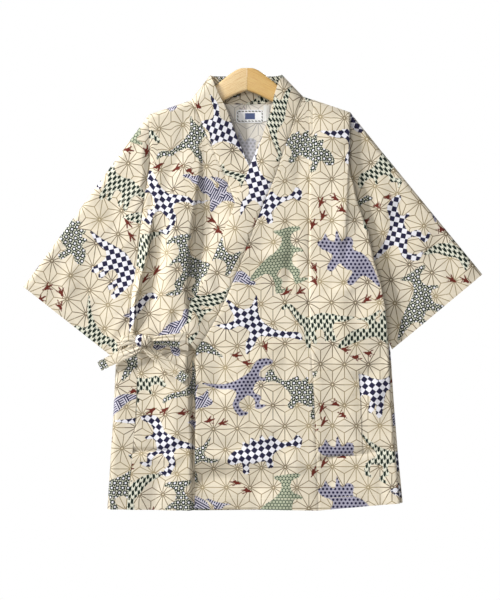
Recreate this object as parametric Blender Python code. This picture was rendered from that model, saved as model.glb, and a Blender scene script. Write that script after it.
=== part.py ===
"""Child's jinbei top hanging on a wooden hanger, as cloth panels sewn together.

The origin is the top of the hanger's crown, +Z is up and the front faces -Y.
Left and right are the wearer's: the wearer's left is at +X.
Lengths are in millimetres until the meshes are made in metres.
"""

import bpy
import bmesh
from math import radians, sqrt

MM = 0.001

# Driving dimensions
CLOTH_WALL = 1.2        # one layer of cotton and linen cloth
BAND_WALL = 2.0         # collar and ties, folded double
SEAM_GAP = 0.3          # between two sewn pieces
BAND_GAP = 0.6          # across to the collar, whose seam runs aslant
SLEEVE_GAP = 1.2        # from the armhole line to the sleeve, whose cloth turns away there
FRONT_DEPTH = 11.0      # middle of the front cloth, before the hanger's plane
BACK_DEPTH = 11.0       # middle of the back cloth, behind it
LAP_DEPTH = 4.0         # left front, before the right one
SHOULDER_ROUND = 9.0    # how far below the shoulder the cloth has opened out
EDGE_HALF = 0.75        # half the distance of front and back cloth at a folded edge
SLEEVE_DEPTH = 7.0      # half the thickness of a sleeve
POCKET_WIDTH = 73.0
LABEL = {"left": -17.5, "right": 27.0, "top": -65.5, "bottom": -86.5, "wall": 1.0}
CARE_STRIP = {"left": 26.5, "right": 36.0, "top": -58.5, "bottom": -84.0, "wall": 1.0}
HANGER = {"half_thick": 6.0, "bevel": 3.5, "seat": 1.5, "joint": 0.15}
KNOT = {"x": -164.0, "y": -27.0, "z": -435.5, "half_x": 13.0, "half_y": 7.5, "half_z": 10.0}

# Side edges of the body. Each row: height, seam of the front panel, outermost fold.
# Above the underarm the seam is the armhole and the fold is not used.
RIGHT_UNDERARM = -440.0
RIGHT_SIDE = [
    {"z": -75, "seam": -157, "fold": -157}, {"z": -155, "seam": -155, "fold": -155},
    {"z": -195, "seam": -162, "fold": -162}, {"z": -256, "seam": -170, "fold": -170},
    {"z": -299, "seam": -174, "fold": -174}, {"z": -376, "seam": -186, "fold": -186},
    {"z": -420, "seam": -188, "fold": -188}, {"z": -440, "seam": -185, "fold": -187},
    {"z": -468, "seam": -173, "fold": -203}, {"z": -480, "seam": -173, "fold": -209},
    {"z": -563, "seam": -178, "fold": -214}, {"z": -643, "seam": -185, "fold": -219},
    {"z": -705, "seam": -192, "fold": -223},
]
LEFT_UNDERARM = -430.0
LEFT_SIDE = [
    {"z": -71, "seam": 165, "fold": 165}, {"z": -166, "seam": 163, "fold": 163},
    {"z": -184, "seam": 170, "fold": 170}, {"z": -214, "seam": 176, "fold": 176},
    {"z": -262, "seam": 194, "fold": 194}, {"z": -307, "seam": 202, "fold": 202},
    {"z": -342, "seam": 213, "fold": 213}, {"z": -379, "seam": 220, "fold": 220},
    {"z": -430, "seam": 225, "fold": 226}, {"z": -454, "seam": 226, "fold": 229.5},
    {"z": -539, "seam": 230, "fold": 235}, {"z": -613, "seam": 236, "fold": 241},
    {"z": -695, "seam": 244, "fold": 249},
]

# Shoulder tucks: the edge of each fold, and how far the cloth steps back between it and the sleeve.
LEFT_TUCK = [
    {"z": -168, "x": 150, "step": 0}, {"z": -190, "x": 159, "step": 3}, {"z": -240, "x": 158, "step": 3},
    {"z": -291, "x": 155, "step": 0},
]
RIGHT_TUCK = [
    {"z": -192, "x": -146, "step": 0}, {"z": -230, "x": -148.5, "step": 3},
    {"z": -320, "x": -151.5, "step": 3}, {"z": -346, "x": -152, "step": 0},
]
TUCK_EDGE = 1.2               # half the width of a tuck's edge
TUCK_FADE = (4, 14)           # the step back fades out between these distances from the armhole
SIDE_ZONE = 100               # beyond this from the middle, a front follows its armhole

# Seams between each front and its okumi, from the shoulder to the hem.
LEFT_OKUMI_SEAM = [
    {"z": -51, "x": 105}, {"z": -131, "x": 104}, {"z": -179, "x": 99}, {"z": -371, "x": 98},
    {"z": -451, "x": 102}, {"z": -531, "x": 107}, {"z": -611, "x": 110}, {"z": -706, "x": 114},
]
RIGHT_OKUMI_SEAM = [
    {"z": -53, "x": -92}, {"z": -57, "x": -89}, {"z": -65, "x": -82.5}, {"z": -79, "x": -79.5},
    {"z": -93, "x": -76.5}, {"z": -131, "x": -74}, {"z": -189, "x": -70}, {"z": -706, "x": -70},
]

# Heights of each row of points down the panels, at the side seam, at the okumi seam and at the
# edge of the okumi. Rows lie close together over the shoulder, and each meets a row of the collar.
RIGHT_ROWS = [
    {"side": -75, "seam": -53, "edge": -79}, {"side": -76.5, "seam": -55, "edge": -79},
    {"side": -79.5, "seam": -57, "edge": -79}, {"side": -84, "seam": -61, "edge": -79},
    {"side": -94, "seam": -65, "edge": -79}, {"side": -104, "seam": -79, "edge": -79},
    {"side": -118, "seam": -93, "edge": -93}, {"side": -136, "seam": -115, "edge": -115},
    {"side": -156, "seam": -145, "edge": -145}, {"side": -176, "seam": -173, "edge": -173},
    {"side": -200, "seam": -204, "edge": -204}, {"side": -228, "seam": -236, "edge": -236},
    {"side": -262, "seam": -275, "edge": -275}, {"side": -300, "seam": -314, "edge": -314},
    {"side": -340, "seam": -353, "edge": -353}, {"side": -376, "seam": -392, "edge": -392},
    {"side": -412, "seam": -416, "edge": -416}, {"side": -436, "seam": -440, "edge": -440},
    {"side": -466, "seam": -468, "edge": -468}, {"side": -500, "seam": -503, "edge": -503},
    {"side": -550, "seam": -552, "edge": -552}, {"side": -600, "seam": -602, "edge": -602},
    {"side": -655, "seam": -656, "edge": -656}, {"side": -705, "seam": -706, "edge": -705},
]
LEFT_ROWS = [
    {"side": -71, "seam": -51, "edge": -46}, {"side": -72.5, "seam": -52.5, "edge": -49},
    {"side": -75.5, "seam": -55.5, "edge": -52}, {"side": -80, "seam": -60, "edge": -58},
    {"side": -90, "seam": -69, "edge": -65}, {"side": -104, "seam": -86, "edge": -83},
    {"side": -122, "seam": -107, "edge": -104}, {"side": -145, "seam": -135, "edge": -133},
    {"side": -166, "seam": -157, "edge": -155}, {"side": -184, "seam": -178, "edge": -176},
    {"side": -212, "seam": -216, "edge": -215}, {"side": -246, "seam": -255, "edge": -254},
    {"side": -280, "seam": -292, "edge": -291}, {"side": -318, "seam": -332, "edge": -331},
    {"side": -355, "seam": -369, "edge": -368}, {"side": -388, "seam": -401, "edge": -400},
    {"side": -420, "seam": -428, "edge": -427}, {"side": -446, "seam": -451, "edge": -450},
    {"side": -478, "seam": -485, "edge": -485}, {"side": -522, "seam": -531, "edge": -530},
    {"side": -568, "seam": -577, "edge": -577}, {"side": -612, "seam": -622, "edge": -622},
    {"side": -654, "seam": -664, "edge": -662}, {"side": -695, "seam": -706, "edge": -703},
]
WAIST_ROW = 14                # in LEFT_ROWS: from here the columns follow the pocket
POCKET_ROWS = (18, 21)        # first and last row under the pocket, in LEFT_ROWS

# Collar sections from the end on the wearer's left, round the neck, to the end on the right.
# side is -1 in front, 0 at the fold beside the neck and 1 behind.
COLLAR = [
    {"free_x": -107, "free_z": -421, "seam_x": -82, "seam_z": -450, "side": -1},
    {"free_x": -94, "free_z": -403, "seam_x": -66, "seam_z": -427, "side": -1},
    {"free_x": -91, "free_z": -376, "seam_x": -50, "seam_z": -400, "side": -1},
    {"free_x": -73, "free_z": -352, "seam_x": -34, "seam_z": -368, "side": -1},
    {"free_x": -58, "free_z": -315, "seam_x": -19, "seam_z": -331, "side": -1},
    {"free_x": -27, "free_z": -238, "seam_x": 11, "seam_z": -254, "side": -1},
    {"free_x": 4, "free_z": -160, "seam_x": 43, "seam_z": -176, "side": -1},
    {"free_x": 27, "free_z": -102, "seam_x": 58, "seam_z": -133, "side": -1},
    {"free_x": 39, "free_z": -67, "seam_x": 68, "seam_z": -104, "side": -1},
    {"free_x": 43, "free_z": -46, "seam_x": 75, "seam_z": -83, "side": -1},
    {"free_x": 49, "free_z": -27, "seam_x": 82, "seam_z": -65, "side": -1},
    {"free_x": 54, "free_z": -14, "seam_x": 88, "seam_z": -52, "side": -0.75},
    {"free_x": 56, "free_z": -10, "seam_x": 91, "seam_z": -46, "side": 0},
    {"free_x": 54, "free_z": -11, "seam_x": 88, "seam_z": -47, "side": 0.75},
    {"free_x": 46, "free_z": -12, "seam_x": 78, "seam_z": -50, "side": 1},
    {"free_x": 24, "free_z": -12, "seam_x": 40, "seam_z": -55, "side": 1},
    {"free_x": 0, "free_z": -12, "seam_x": 0, "seam_z": -57, "side": 1},
    {"free_x": -24, "free_z": -12, "seam_x": -40, "seam_z": -56, "side": 1},
    {"free_x": -48, "free_z": -12, "seam_x": -78, "seam_z": -54, "side": 1},
    {"free_x": -57, "free_z": -12, "seam_x": -88, "seam_z": -53, "side": 0.75},
    {"free_x": -59, "free_z": -11, "seam_x": -91, "seam_z": -52, "side": 0},
    {"free_x": -57, "free_z": -15, "seam_x": -88, "seam_z": -57, "side": -0.75},
    {"free_x": -52, "free_z": -27, "seam_x": -82, "seam_z": -65, "side": -1},
    {"free_x": -45, "free_z": -43, "seam_x": -76, "seam_z": -79, "side": -1},
    {"free_x": -35, "free_z": -62, "seam_x": -70, "seam_z": -93, "side": -1},
    {"free_x": -26, "free_z": -85, "seam_x": -61, "seam_z": -115, "side": -1},
    {"free_x": -10, "free_z": -127, "seam_x": -48, "seam_z": -145, "side": -1},
    {"free_x": 5, "free_z": -160, "seam_x": -35, "seam_z": -173, "side": -1},
    {"free_x": 27, "free_z": -222, "seam_x": -11, "seam_z": -236, "side": -1},
    {"free_x": 58, "free_z": -300, "seam_x": 19, "seam_z": -314, "side": -1},
    {"free_x": 88, "free_z": -376, "seam_x": 50, "seam_z": -392, "side": -1},
    {"free_x": 97, "free_z": -421, "seam_x": 81, "seam_z": -440, "side": -1},
]
LEFT_BAND = range(0, 13)      # rows of COLLAR on the wearer's left, bottom to neck
RIGHT_BAND = range(20, 32)    # rows of COLLAR on the wearer's right, neck to bottom

# Large folds of the right front. Each row: height, the ridge's crest and how far it stands out.
RIGHT_RIDGE = [
    {"z": -120, "x": -86, "out": 0}, {"z": -200, "x": -85, "out": 6}, {"z": -250, "x": -90, "out": 8},
    {"z": -370, "x": -94, "out": 8}, {"z": -405, "x": -94, "out": 4}, {"z": -450, "x": -94, "out": 4},
    {"z": -490, "x": -94, "out": 8}, {"z": -706, "x": -92, "out": 6},
]
RIDGE_LEFT_WIDTH = 34.0
RIDGE_RIGHT_WIDTH = 11.0
# Ridge of the right front beside its sleeve: height, distance from the seam, how far it stands out.
# Towards the seam it is RIDGE_TO_SEAM of that distance wide, and SLEEVE_RIDGE_WIDTH the other way.
SLEEVE_RIDGE = [
    {"z": -230, "in": 12, "out": 0}, {"z": -256, "in": 12, "out": 5}, {"z": -345, "in": 9, "out": 7},
    {"z": -405, "in": 6, "out": 6}, {"z": -440, "in": 6, "out": 0},
]
RIDGE_TO_SEAM = 2.2
SLEEVE_RIDGE_WIDTH = 12.0

# The left front over the right one, over its own sleeve, and where its tie pulls at the corner.
LEFT_LAP = {"full_x": 100, "end_x": 140, "start_z": -60, "full_z": -150}
LEFT_OVER_SLEEVE = [
    {"z": -80, "out": 0}, {"z": -120, "out": 3}, {"z": -291, "out": 3}, {"z": -380, "out": 0},
]
OVER_SLEEVE_X = (120, 150)
TIE_CORNER = [
    {"z": -340, "out": 0}, {"z": -385, "out": 5}, {"z": -450, "out": 5}, {"z": -480, "out": 0},
]
TIE_CORNER_X = (-62, -92)
LEFT_EDGE_DROP = 9.0          # the left front's edge falls back to its sleeve
LEFT_EDGE_ROUND = 7.0
LEFT_EDGE_START = (-76, -90)
SIDE_TURN = (2, 5)            # how far in from the side fold the back is round, in front and behind

# Sleeves: the corners of each, tip of the shoulder, cuff top, cuff bottom, underarm.
RIGHT_SLEEVE = {"tip": (-158, -76), "cuff_top": (-357, -350), "cuff_bottom": (-207, -468),
                "underarm": (-190, -442)}
LEFT_SLEEVE = {"tip": (165.5, -73), "cuff_top": (376, -330), "cuff_bottom": (232, -450),
               "underarm": (224, -432)}
SLEEVE_ALONG = (0, 0.03, 0.12, 0.3, 0.5, 0.75, 0.94, 1)    # rings of points, as parts of its length
SLEEVE_EDGE = 0.04            # part of a sleeve's height over which its folded edges are round
ARMHOLE_EASE = 6              # how fast a sleeve leaves the shape of its armhole

# Ties: points along each band, with half its width where that isn't the full one. The first starts
# from the collar's end, and the others from the knot.
TIE_FRONT = [
    {"x": -95.3, "y": -20, "z": -436.2, "half": 16}, {"x": -109, "y": -20.5, "z": -434, "half": 11},
    {"x": -122, "y": -21.5, "z": -433, "half": 9}, {"x": -136, "y": -23, "z": -433, "half": 8},
    {"x": -150.6, "y": -26, "z": -434.8, "half": 7},
]
TIE_LOOP = [
    {"x": -177.6, "y": -28, "z": -434, "half": 6}, {"x": -188, "y": -30, "z": -434, "half": 8},
    {"x": -196, "y": -30, "z": -435.5, "half": 8}, {"x": -199, "y": -26, "z": -436, "half": 7},
    {"x": -194, "y": -23.5, "z": -436, "half": 7}, {"x": -186, "y": -24, "z": -436, "half": 6},
]
TIE_END_LEFT = [
    {"x": -172.4, "y": -24, "z": -446, "half": 6}, {"x": -186, "y": -22, "z": -452, "half": 8},
    {"x": -204, "y": -20, "z": -461, "half": 8}, {"x": -220, "y": -16, "z": -469, "half": 8},
    {"x": -235, "y": -14, "z": -476.5, "half": 8},
]
TIE_END_RIGHT = [
    {"x": -159.4, "y": -24, "z": -447.6, "half": 6}, {"x": -148, "y": -21, "z": -457, "half": 8},
    {"x": -130, "y": -21, "z": -472, "half": 8}, {"x": -112, "y": -23, "z": -486, "half": 8},
    {"x": -97, "y": -24, "z": -497, "half": 8},
]

# Hanger: half of its outline, from the joint over the crown to the neck. Along the shoulder it
# follows the cloth, and its lower edge comes back from the tip.
HANGER_CROWN = [(0, 0), (8, 0), (18, -4), (27, -10), (39, -19), (50, -29)]
HANGER_NECK = {"before": 8, "before_drop": 6, "after": 6, "after_drop": 5, "rest_from": 16}
HANGER_TIP = {"from_armhole": 6, "round": 4}
HANGER_TIP_LOW = [(0, -6), (0, -14), (6, -19), (34, -12)]    # distances in and down from the tip
HANGER_LOW = [(75, -70), (42, -54), (0, -36)]

COLOURS = {
    "cloth": (0.79, 0.70, 0.53), "band": (0.76, 0.66, 0.48), "pocket": (0.72, 0.62, 0.45),
    "tie": (0.70, 0.60, 0.42), "label": (0.88, 0.88, 0.84), "wood": (0.72, 0.50, 0.24),
}


def clear_scene():
    for item in list(bpy.data.objects):
        bpy.data.objects.remove(item, do_unlink=True)


def material(name, colour, roughness):
    found = bpy.data.materials.get(name)
    if found:
        return found
    made = bpy.data.materials.new(name)
    made.use_nodes = True
    shader = made.node_tree.nodes["Principled BSDF"]
    shader.inputs["Base Color"].default_value = (*colour, 1)
    shader.inputs["Roughness"].default_value = roughness
    shader.inputs["Metallic"].default_value = 0
    return made


def look_up(table, z, column):
    """Value of a column at a height, straight between the rows."""
    if z >= table[0]["z"]:
        return table[0][column]
    for upper, lower in zip(table, table[1:]):
        if z >= lower["z"]:
            part = (upper["z"] - z) / (upper["z"] - lower["z"])
            return upper[column] + (lower[column] - upper[column]) * part
    return table[-1][column]


def round_over(distance, reach):
    """Quarter round: 0 at the edge, 1 from the reach on."""
    part = min(max(distance / reach, 0), 1)
    return sqrt(1 - (1 - part) ** 2)


def ease(value, start, end):
    """Smooth rise from 0 at the start to 1 at the end, which may lie either way."""
    part = min(max((value - start) / (end - start), 0), 1)
    return part * part * (3 - 2 * part)


def bump(distance, left_width, right_width):
    """Soft ridge: 1 on its crest, 0 a width away on each side."""
    width = left_width if distance < 0 else right_width
    return 1 - ease(abs(distance), 0, width)


def add_object(name, mesh, colour, roughness, smooth=True):
    made = bpy.data.objects.new(name, mesh)
    bpy.context.scene.collection.objects.link(made)
    mesh.materials.append(material(name, COLOURS[colour], roughness))
    if smooth:
        mesh.shade_smooth()
        mesh.set_sharp_from_angle(angle=radians(40))
    return made


def cloth_object(name, rows, wall, colour, ring=False):
    """A sheet through rows of points, with its wall built evenly on both sides."""
    work = bmesh.new()
    grid = [[None if p is None else work.verts.new([c * MM for c in p]) for p in row] for row in rows]
    for upper, lower in zip(grid, grid[1:]):
        count = len(upper)
        for i in range(count if ring else count - 1):
            corners = [upper[i], upper[(i + 1) % count], lower[(i + 1) % count], lower[i]]
            if None not in corners:
                work.faces.new(corners)
    bmesh.ops.triangulate(work, faces=work.faces)
    bmesh.ops.recalc_face_normals(work, faces=work.faces)
    mesh = bpy.data.meshes.new(name)
    work.to_mesh(mesh)
    work.free()
    made = add_object(name, mesh, colour, 0.85)
    solid = made.modifiers.new("Wall", "SOLIDIFY")
    solid.thickness = wall * MM
    solid.offset = 0
    return made


# Heights of the shoulder line and of the back neckline

def neck_point(x):
    row = COLLAR[20] if x < 0 else COLLAR[12]
    return row["seam_x"], row["seam_z"]


def top_line(x):
    """Height of the shoulder, or of the back neckline between the collar's own seam points."""
    points = [(row["seam_x"], row["seam_z"]) for row in COLLAR[12:21]]
    points.append((RIGHT_SIDE[0]["seam"], RIGHT_SIDE[0]["z"]))
    points.insert(0, (LEFT_SIDE[0]["seam"], LEFT_SIDE[0]["z"]))
    for (x1, z1), (x2, z2) in zip(points, points[1:]):
        if x >= x2:
            return z1 + (z2 - z1) * (x1 - x) / (x1 - x2)
    return points[-1][1]


def opened(x, z):
    """0 on the shoulder fold, 1 where front and back cloth are fully apart."""
    neck_x, _ = neck_point(x)
    inside = max(0, abs(neck_x) - abs(x))
    return round_over(top_line(x) - z + inside, SHOULDER_ROUND)


# Depth of each layer at a place on the front or back

def right_front_y(x, z):
    ridge = look_up(RIGHT_RIDGE, z, "out")
    crest = look_up(RIGHT_RIDGE, z, "x")
    out = FRONT_DEPTH + ridge * bump(x - crest, RIDGE_LEFT_WIDTH, RIDGE_RIGHT_WIDTH)
    seam = look_up(RIGHT_SIDE, z, "seam")
    if x < -SIDE_ZONE:
        inside = look_up(SLEEVE_RIDGE, z, "in")
        ridge = bump(x - seam - inside, inside * RIDGE_TO_SEAM, SLEEVE_RIDGE_WIDTH)
        out += look_up(SLEEVE_RIDGE, z, "out") * ridge
        tuck, step = look_up(RIGHT_TUCK, z, "x"), look_up(RIGHT_TUCK, z, "step")
        out -= step * (1 - ease(x, tuck - TUCK_EDGE, tuck + TUCK_EDGE)) * ease(x - seam, *TUCK_FADE)
    return -(EDGE_HALF + (out - EDGE_HALF) * opened(x, z))


def left_front_y(x, z):
    lap = 1 - ease(x, LEFT_LAP["full_x"], LEFT_LAP["end_x"])
    lap *= ease(z, LEFT_LAP["start_z"], LEFT_LAP["full_z"])
    out = FRONT_DEPTH + LAP_DEPTH * lap + look_up(TIE_CORNER, z, "out") * ease(x, *TIE_CORNER_X)
    if x > SIDE_ZONE:
        seam = look_up(LEFT_SIDE, z, "seam")
        tuck, step = look_up(LEFT_TUCK, z, "x"), look_up(LEFT_TUCK, z, "step")
        out += look_up(LEFT_OVER_SLEEVE, z, "out") * ease(x, *OVER_SLEEVE_X)
        out -= step * ease(x, tuck - TUCK_EDGE, tuck + TUCK_EDGE)
        edge = 1 - round_over(seam - x, LEFT_EDGE_ROUND)
        out -= LEFT_EDGE_DROP * edge * ease(z, *LEFT_EDGE_START)
    return -(EDGE_HALF + (out - EDGE_HALF) * opened(x, z))


def back_y(x, z):
    return EDGE_HALF + (BACK_DEPTH - EDGE_HALF) * opened(x, z)


def share(part, shift=0):
    return lambda left, right, z: left + (right - left) * part + shift


def beside(table, shift):
    return lambda left, right, z: look_up(table, z, "x") + shift


def panel_rows(left_edge, right_edge, heights, columns, depth):
    """Rows of points between two edges, each edge a function of height."""
    rows = []
    for left_z, right_z in heights:
        left, right = left_edge(left_z), right_edge(right_z)
        row = []
        for column in columns:
            x = min(max(column(left, right, (left_z + right_z) / 2), left), right)
            z = left_z + (right_z - left_z) * (x - left) / (right - left)
            row.append((x, depth(x, z), z))
        rows.append(row)
    return rows


def band_seam(rows, z):
    table = sorted(({"z": COLLAR[i]["seam_z"], "x": COLLAR[i]["seam_x"]} for i in rows),
                   key=lambda row: -row["z"])
    return look_up(table, z, "x")


def add_right_front():
    tuck = [beside(RIGHT_TUCK, -TUCK_EDGE), beside(RIGHT_TUCK, TUCK_EDGE)]
    ridge = [share(1, -48), share(1, -32), share(1, -22), share(1, -14), share(1, -7)]
    columns = [share(0), share(0, 5), share(0, 12)] + tuck + [share(0.5)] + ridge + [share(1)]
    seam = lambda z: look_up(RIGHT_SIDE, z, "seam") + SEAM_GAP / 2
    okumi = lambda z: look_up(RIGHT_OKUMI_SEAM, z, "x") - SEAM_GAP / 2
    heights = [(row["side"], row["seam"]) for row in RIGHT_ROWS]
    rows = panel_rows(seam, okumi, heights, columns, right_front_y)
    return cloth_object("front_right", rows, CLOTH_WALL, "cloth")


def right_okumi_edge(z):
    end = COLLAR[RIGHT_BAND[-1]]
    if z >= end["seam_z"]:
        return band_seam(RIGHT_BAND, z) - BAND_GAP
    return end["seam_x"] - BAND_GAP + 5 * ease(end["seam_z"] - z, 0, 80)


def add_right_okumi():
    columns = [share(0), share(0.15), share(0.4), share(0.7), share(1)]
    seam = lambda z: look_up(RIGHT_OKUMI_SEAM, z, "x") + SEAM_GAP / 2
    heights = [(row["seam"], row["edge"]) for row in RIGHT_ROWS[5:]]
    rows = panel_rows(seam, right_okumi_edge, heights, columns, right_front_y)
    return cloth_object("okumi_right", rows, CLOTH_WALL, "band")


def left_okumi_edge(z):
    end = COLLAR[LEFT_BAND[0]]
    if z >= end["seam_z"]:
        return band_seam(LEFT_BAND, z) + BAND_GAP
    return end["seam_x"] + BAND_GAP - 2 * ease(end["seam_z"] - z, 0, 250)


def add_left_okumi():
    columns = [share(0), share(0, 6), share(0.2), share(0.4), share(0.6), share(0.8), share(1)]
    seam = lambda z: look_up(LEFT_OKUMI_SEAM, z, "x") - SEAM_GAP / 2
    heights = [(row["edge"], row["seam"]) for row in LEFT_ROWS]
    rows = panel_rows(left_okumi_edge, seam, heights, columns, left_front_y)
    return cloth_object("okumi_left", rows, CLOTH_WALL, "band")


def left_front_rows():
    """Down to the waist the columns follow the tuck, and below it the pocket's edge."""
    quarter = [share(0), share(0, POCKET_WIDTH / 4), share(0, POCKET_WIDTH / 2)]
    edge = [share(1, -7), share(1, -3), share(1)]
    tuck = [beside(LEFT_TUCK, -TUCK_EDGE), beside(LEFT_TUCK, TUCK_EDGE)]
    upper = quarter + tuck + [share(1, -14)] + edge
    lower = quarter + [share(0, POCKET_WIDTH), share(0, POCKET_WIDTH + 10), share(1, -24)] + edge
    seam = lambda z: look_up(LEFT_OKUMI_SEAM, z, "x") + SEAM_GAP / 2
    side = lambda z: look_up(LEFT_SIDE, z, "seam") - SEAM_GAP / 2
    heights = [(row["seam"], row["side"]) for row in LEFT_ROWS]
    return (panel_rows(seam, side, heights[:WAIST_ROW], upper, left_front_y)
            + panel_rows(seam, side, heights[WAIST_ROW:], lower, left_front_y))


def add_left_front():
    return cloth_object("front_left", left_front_rows(), CLOTH_WALL, "cloth")


def add_pocket():
    """The front's own points inside the pocket, moved out by a wall and a gap."""
    first, last = POCKET_ROWS
    out = CLOTH_WALL + SEAM_GAP
    rows = [[(x, y - out, z) for x, y, z in row[0:4]] for row in left_front_rows()[first:last + 1]]
    return cloth_object("pocket", rows, CLOTH_WALL, "pocket")


def collar_y(row, x, z):
    """The bands lie at the depth of the fronts that they are sewn to."""
    if row["side"] != -1:
        return row["side"] * BACK_DEPTH
    face = left_front_y if COLLAR.index(row) in LEFT_BAND else right_front_y
    return face(x, min(z, top_line(x) - SHOULDER_ROUND))


def add_collar():
    rows = []
    for row in COLLAR:
        seam_z = row["seam_z"] + (SEAM_GAP if row["side"] >= 0 else 0)
        points = []
        for part in (0, 0.5, 1):
            x = row["free_x"] + (row["seam_x"] - row["free_x"]) * part
            z = row["free_z"] + (seam_z - row["free_z"]) * part
            points.append((x, collar_y(row, x, z), z))
        rows.append(points)
    return cloth_object("collar", rows, BAND_WALL, "band")


def side_section(z, side, underarm, sign):
    """Points of the back cloth round one side, from the front seam to the back."""
    seam, fold = look_up(side, z, "seam"), look_up(side, z, "fold")
    if z > underarm:
        return [None, None, None, (seam - sign * SEAM_GAP / 2, back_y(seam, z), z)]
    front = -FRONT_DEPTH if sign < 0 else -(FRONT_DEPTH - LEFT_EDGE_DROP)
    return [(seam + sign * SEAM_GAP, front, z), (fold - sign * SIDE_TURN[0], front * 0.6, z),
            (fold, 0, z), (fold - sign * SIDE_TURN[1], back_y(fold, z), z)]


def add_back():
    """Columns keep the collar's places at the neckline, so both meet along the same line."""
    neck = [row["seam_x"] for row in COLLAR[12:21]][::-1]
    rows = []
    for right_row, left_row in zip(RIGHT_ROWS, LEFT_ROWS):
        right = side_section(right_row["side"], RIGHT_SIDE, RIGHT_UNDERARM, -1)
        left = side_section(left_row["side"], LEFT_SIDE, LEFT_UNDERARM, 1)
        first, last = right[3][0], left[3][0]
        inner = [(first + neck[0]) / 2] + neck + [(last + neck[-1]) / 2]
        middle = []
        for x in inner:
            part = (x - first) / (last - first)
            side_z = right_row["side"] + (left_row["side"] - right_row["side"]) * part
            side_top = RIGHT_ROWS[0]["side"] + (LEFT_ROWS[0]["side"] - RIGHT_ROWS[0]["side"]) * part
            hem = RIGHT_ROWS[-1]["side"] + (LEFT_ROWS[-1]["side"] - RIGHT_ROWS[-1]["side"]) * part
            level = (side_z - side_top) / (hem - side_top)
            z = top_line(x) + (hem - top_line(x)) * level - SEAM_GAP / 2
            middle.append((x, back_y(x, z), z))
        rows.append(right + middle + left[::-1])
    return cloth_object("back", rows, CLOTH_WALL, "cloth")


def sleeve_rows(corners, rows, side, underarm, gap, front_edge_y):
    """Rings round a flat sleeve, from the armhole, whose heights the body's rows share, to the cuff."""
    heights = [row["side"] for row in rows if row["side"] > underarm] + [underarm]
    across = [(z - heights[0]) / (underarm - heights[0]) for z in heights]
    rings = []
    for part in SLEEVE_ALONG:
        top = [a + (b - a) * part for a, b in zip(corners["tip"], corners["cuff_top"])]
        low = [a + (b - a) * part for a, b in zip(corners["underarm"], corners["cuff_bottom"])]
        near = (1 - part) ** ARMHOLE_EASE
        front, back = [], []
        for v, seam_z in zip(across, heights):
            x = top[0] + (low[0] - top[0]) * v
            z = top[1] + (low[1] - top[1]) * v
            straight = corners["tip"][0] + (corners["underarm"][0] - corners["tip"][0]) * v
            x += (look_up(side, seam_z, "seam") + gap - straight) * near
            z += (seam_z - corners["tip"][1] - (corners["underarm"][1] - corners["tip"][1]) * v) * near
            edge = round_over(min(v, 1 - v), SLEEVE_EDGE)
            ahead = SLEEVE_DEPTH + (-front_edge_y(seam_z) - SLEEVE_DEPTH) * near
            behind = SLEEVE_DEPTH + (back_y(look_up(side, seam_z, "seam"), seam_z) - SLEEVE_DEPTH) * near
            front.append((x, -(EDGE_HALF + (ahead - EDGE_HALF) * edge), z))
            back.append((x, EDGE_HALF + (behind - EDGE_HALF) * edge, z))
        rings.append(front + back[::-1])
    return rings


def add_sleeves():
    right_edge = lambda z: right_front_y(look_up(RIGHT_SIDE, z, "seam"), z)
    right = sleeve_rows(RIGHT_SLEEVE, RIGHT_ROWS, RIGHT_SIDE, RIGHT_UNDERARM, -SLEEVE_GAP, right_edge)
    cloth_object("sleeve_right", right, CLOTH_WALL, "cloth", ring=True)
    left_edge = lambda z: left_front_y(look_up(LEFT_SIDE, z, "seam"), z)
    left = sleeve_rows(LEFT_SLEEVE, LEFT_ROWS, LEFT_SIDE, LEFT_UNDERARM, SLEEVE_GAP, left_edge)
    cloth_object("sleeve_left", left, CLOTH_WALL, "cloth", ring=True)


def add_patch(name, box, y):
    middle = (box["left"] + box["right"]) / 2
    rows = [[(x, y, z) for x in (box["left"], middle, box["right"])] for z in (box["top"], box["bottom"])]
    return cloth_object(name, rows, box["wall"], "label")


def add_labels():
    inner = BACK_DEPTH - CLOTH_WALL / 2 - SEAM_GAP
    label_y = inner - LABEL["wall"] / 2
    add_patch("label", LABEL, label_y)
    add_patch("care_strip", CARE_STRIP, label_y - LABEL["wall"] - SEAM_GAP)


def add_ribbon(name, path, first_run=None):
    """A folded band square to its path of points. first_run turns its first end another way."""
    rows = []
    for index, here in enumerate(path):
        before, after = path[max(index - 1, 0)], path[min(index + 1, len(path) - 1)]
        run = (after["x"] - before["x"], after["z"] - before["z"])
        if index == 0 and first_run:
            run = first_run
        length = sqrt(run[0] ** 2 + run[1] ** 2)
        rows.append([(here["x"] - run[1] / length * here["half"] * part, here["y"],
                      here["z"] + run[0] / length * here["half"] * part) for part in (-1, 0, 1)])
    return cloth_object(name, rows, BAND_WALL, "tie")


def add_ties():
    end = COLLAR[0]
    end_run = (end["seam_z"] - end["free_z"], -(end["seam_x"] - end["free_x"]))
    add_ribbon("tie_front", TIE_FRONT, end_run)
    add_ribbon("tie_loop", TIE_LOOP)
    add_ribbon("tie_end_left", TIE_END_LEFT)
    add_ribbon("tie_end_right", TIE_END_RIGHT)


def add_knot():
    work = bmesh.new()
    bmesh.ops.create_uvsphere(work, u_segments=16, v_segments=10, radius=1)
    for vert in work.verts:
        vert.co.x = vert.co.x * KNOT["half_x"] + KNOT["x"]
        vert.co.y = vert.co.y * KNOT["half_y"] + KNOT["y"]
        vert.co.z = vert.co.z * KNOT["half_z"] + KNOT["z"]
        vert.co *= MM
    mesh = bpy.data.meshes.new("tie_knot")
    work.to_mesh(mesh)
    work.free()
    add_object("tie_knot", mesh, "tie", 0.85)


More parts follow.
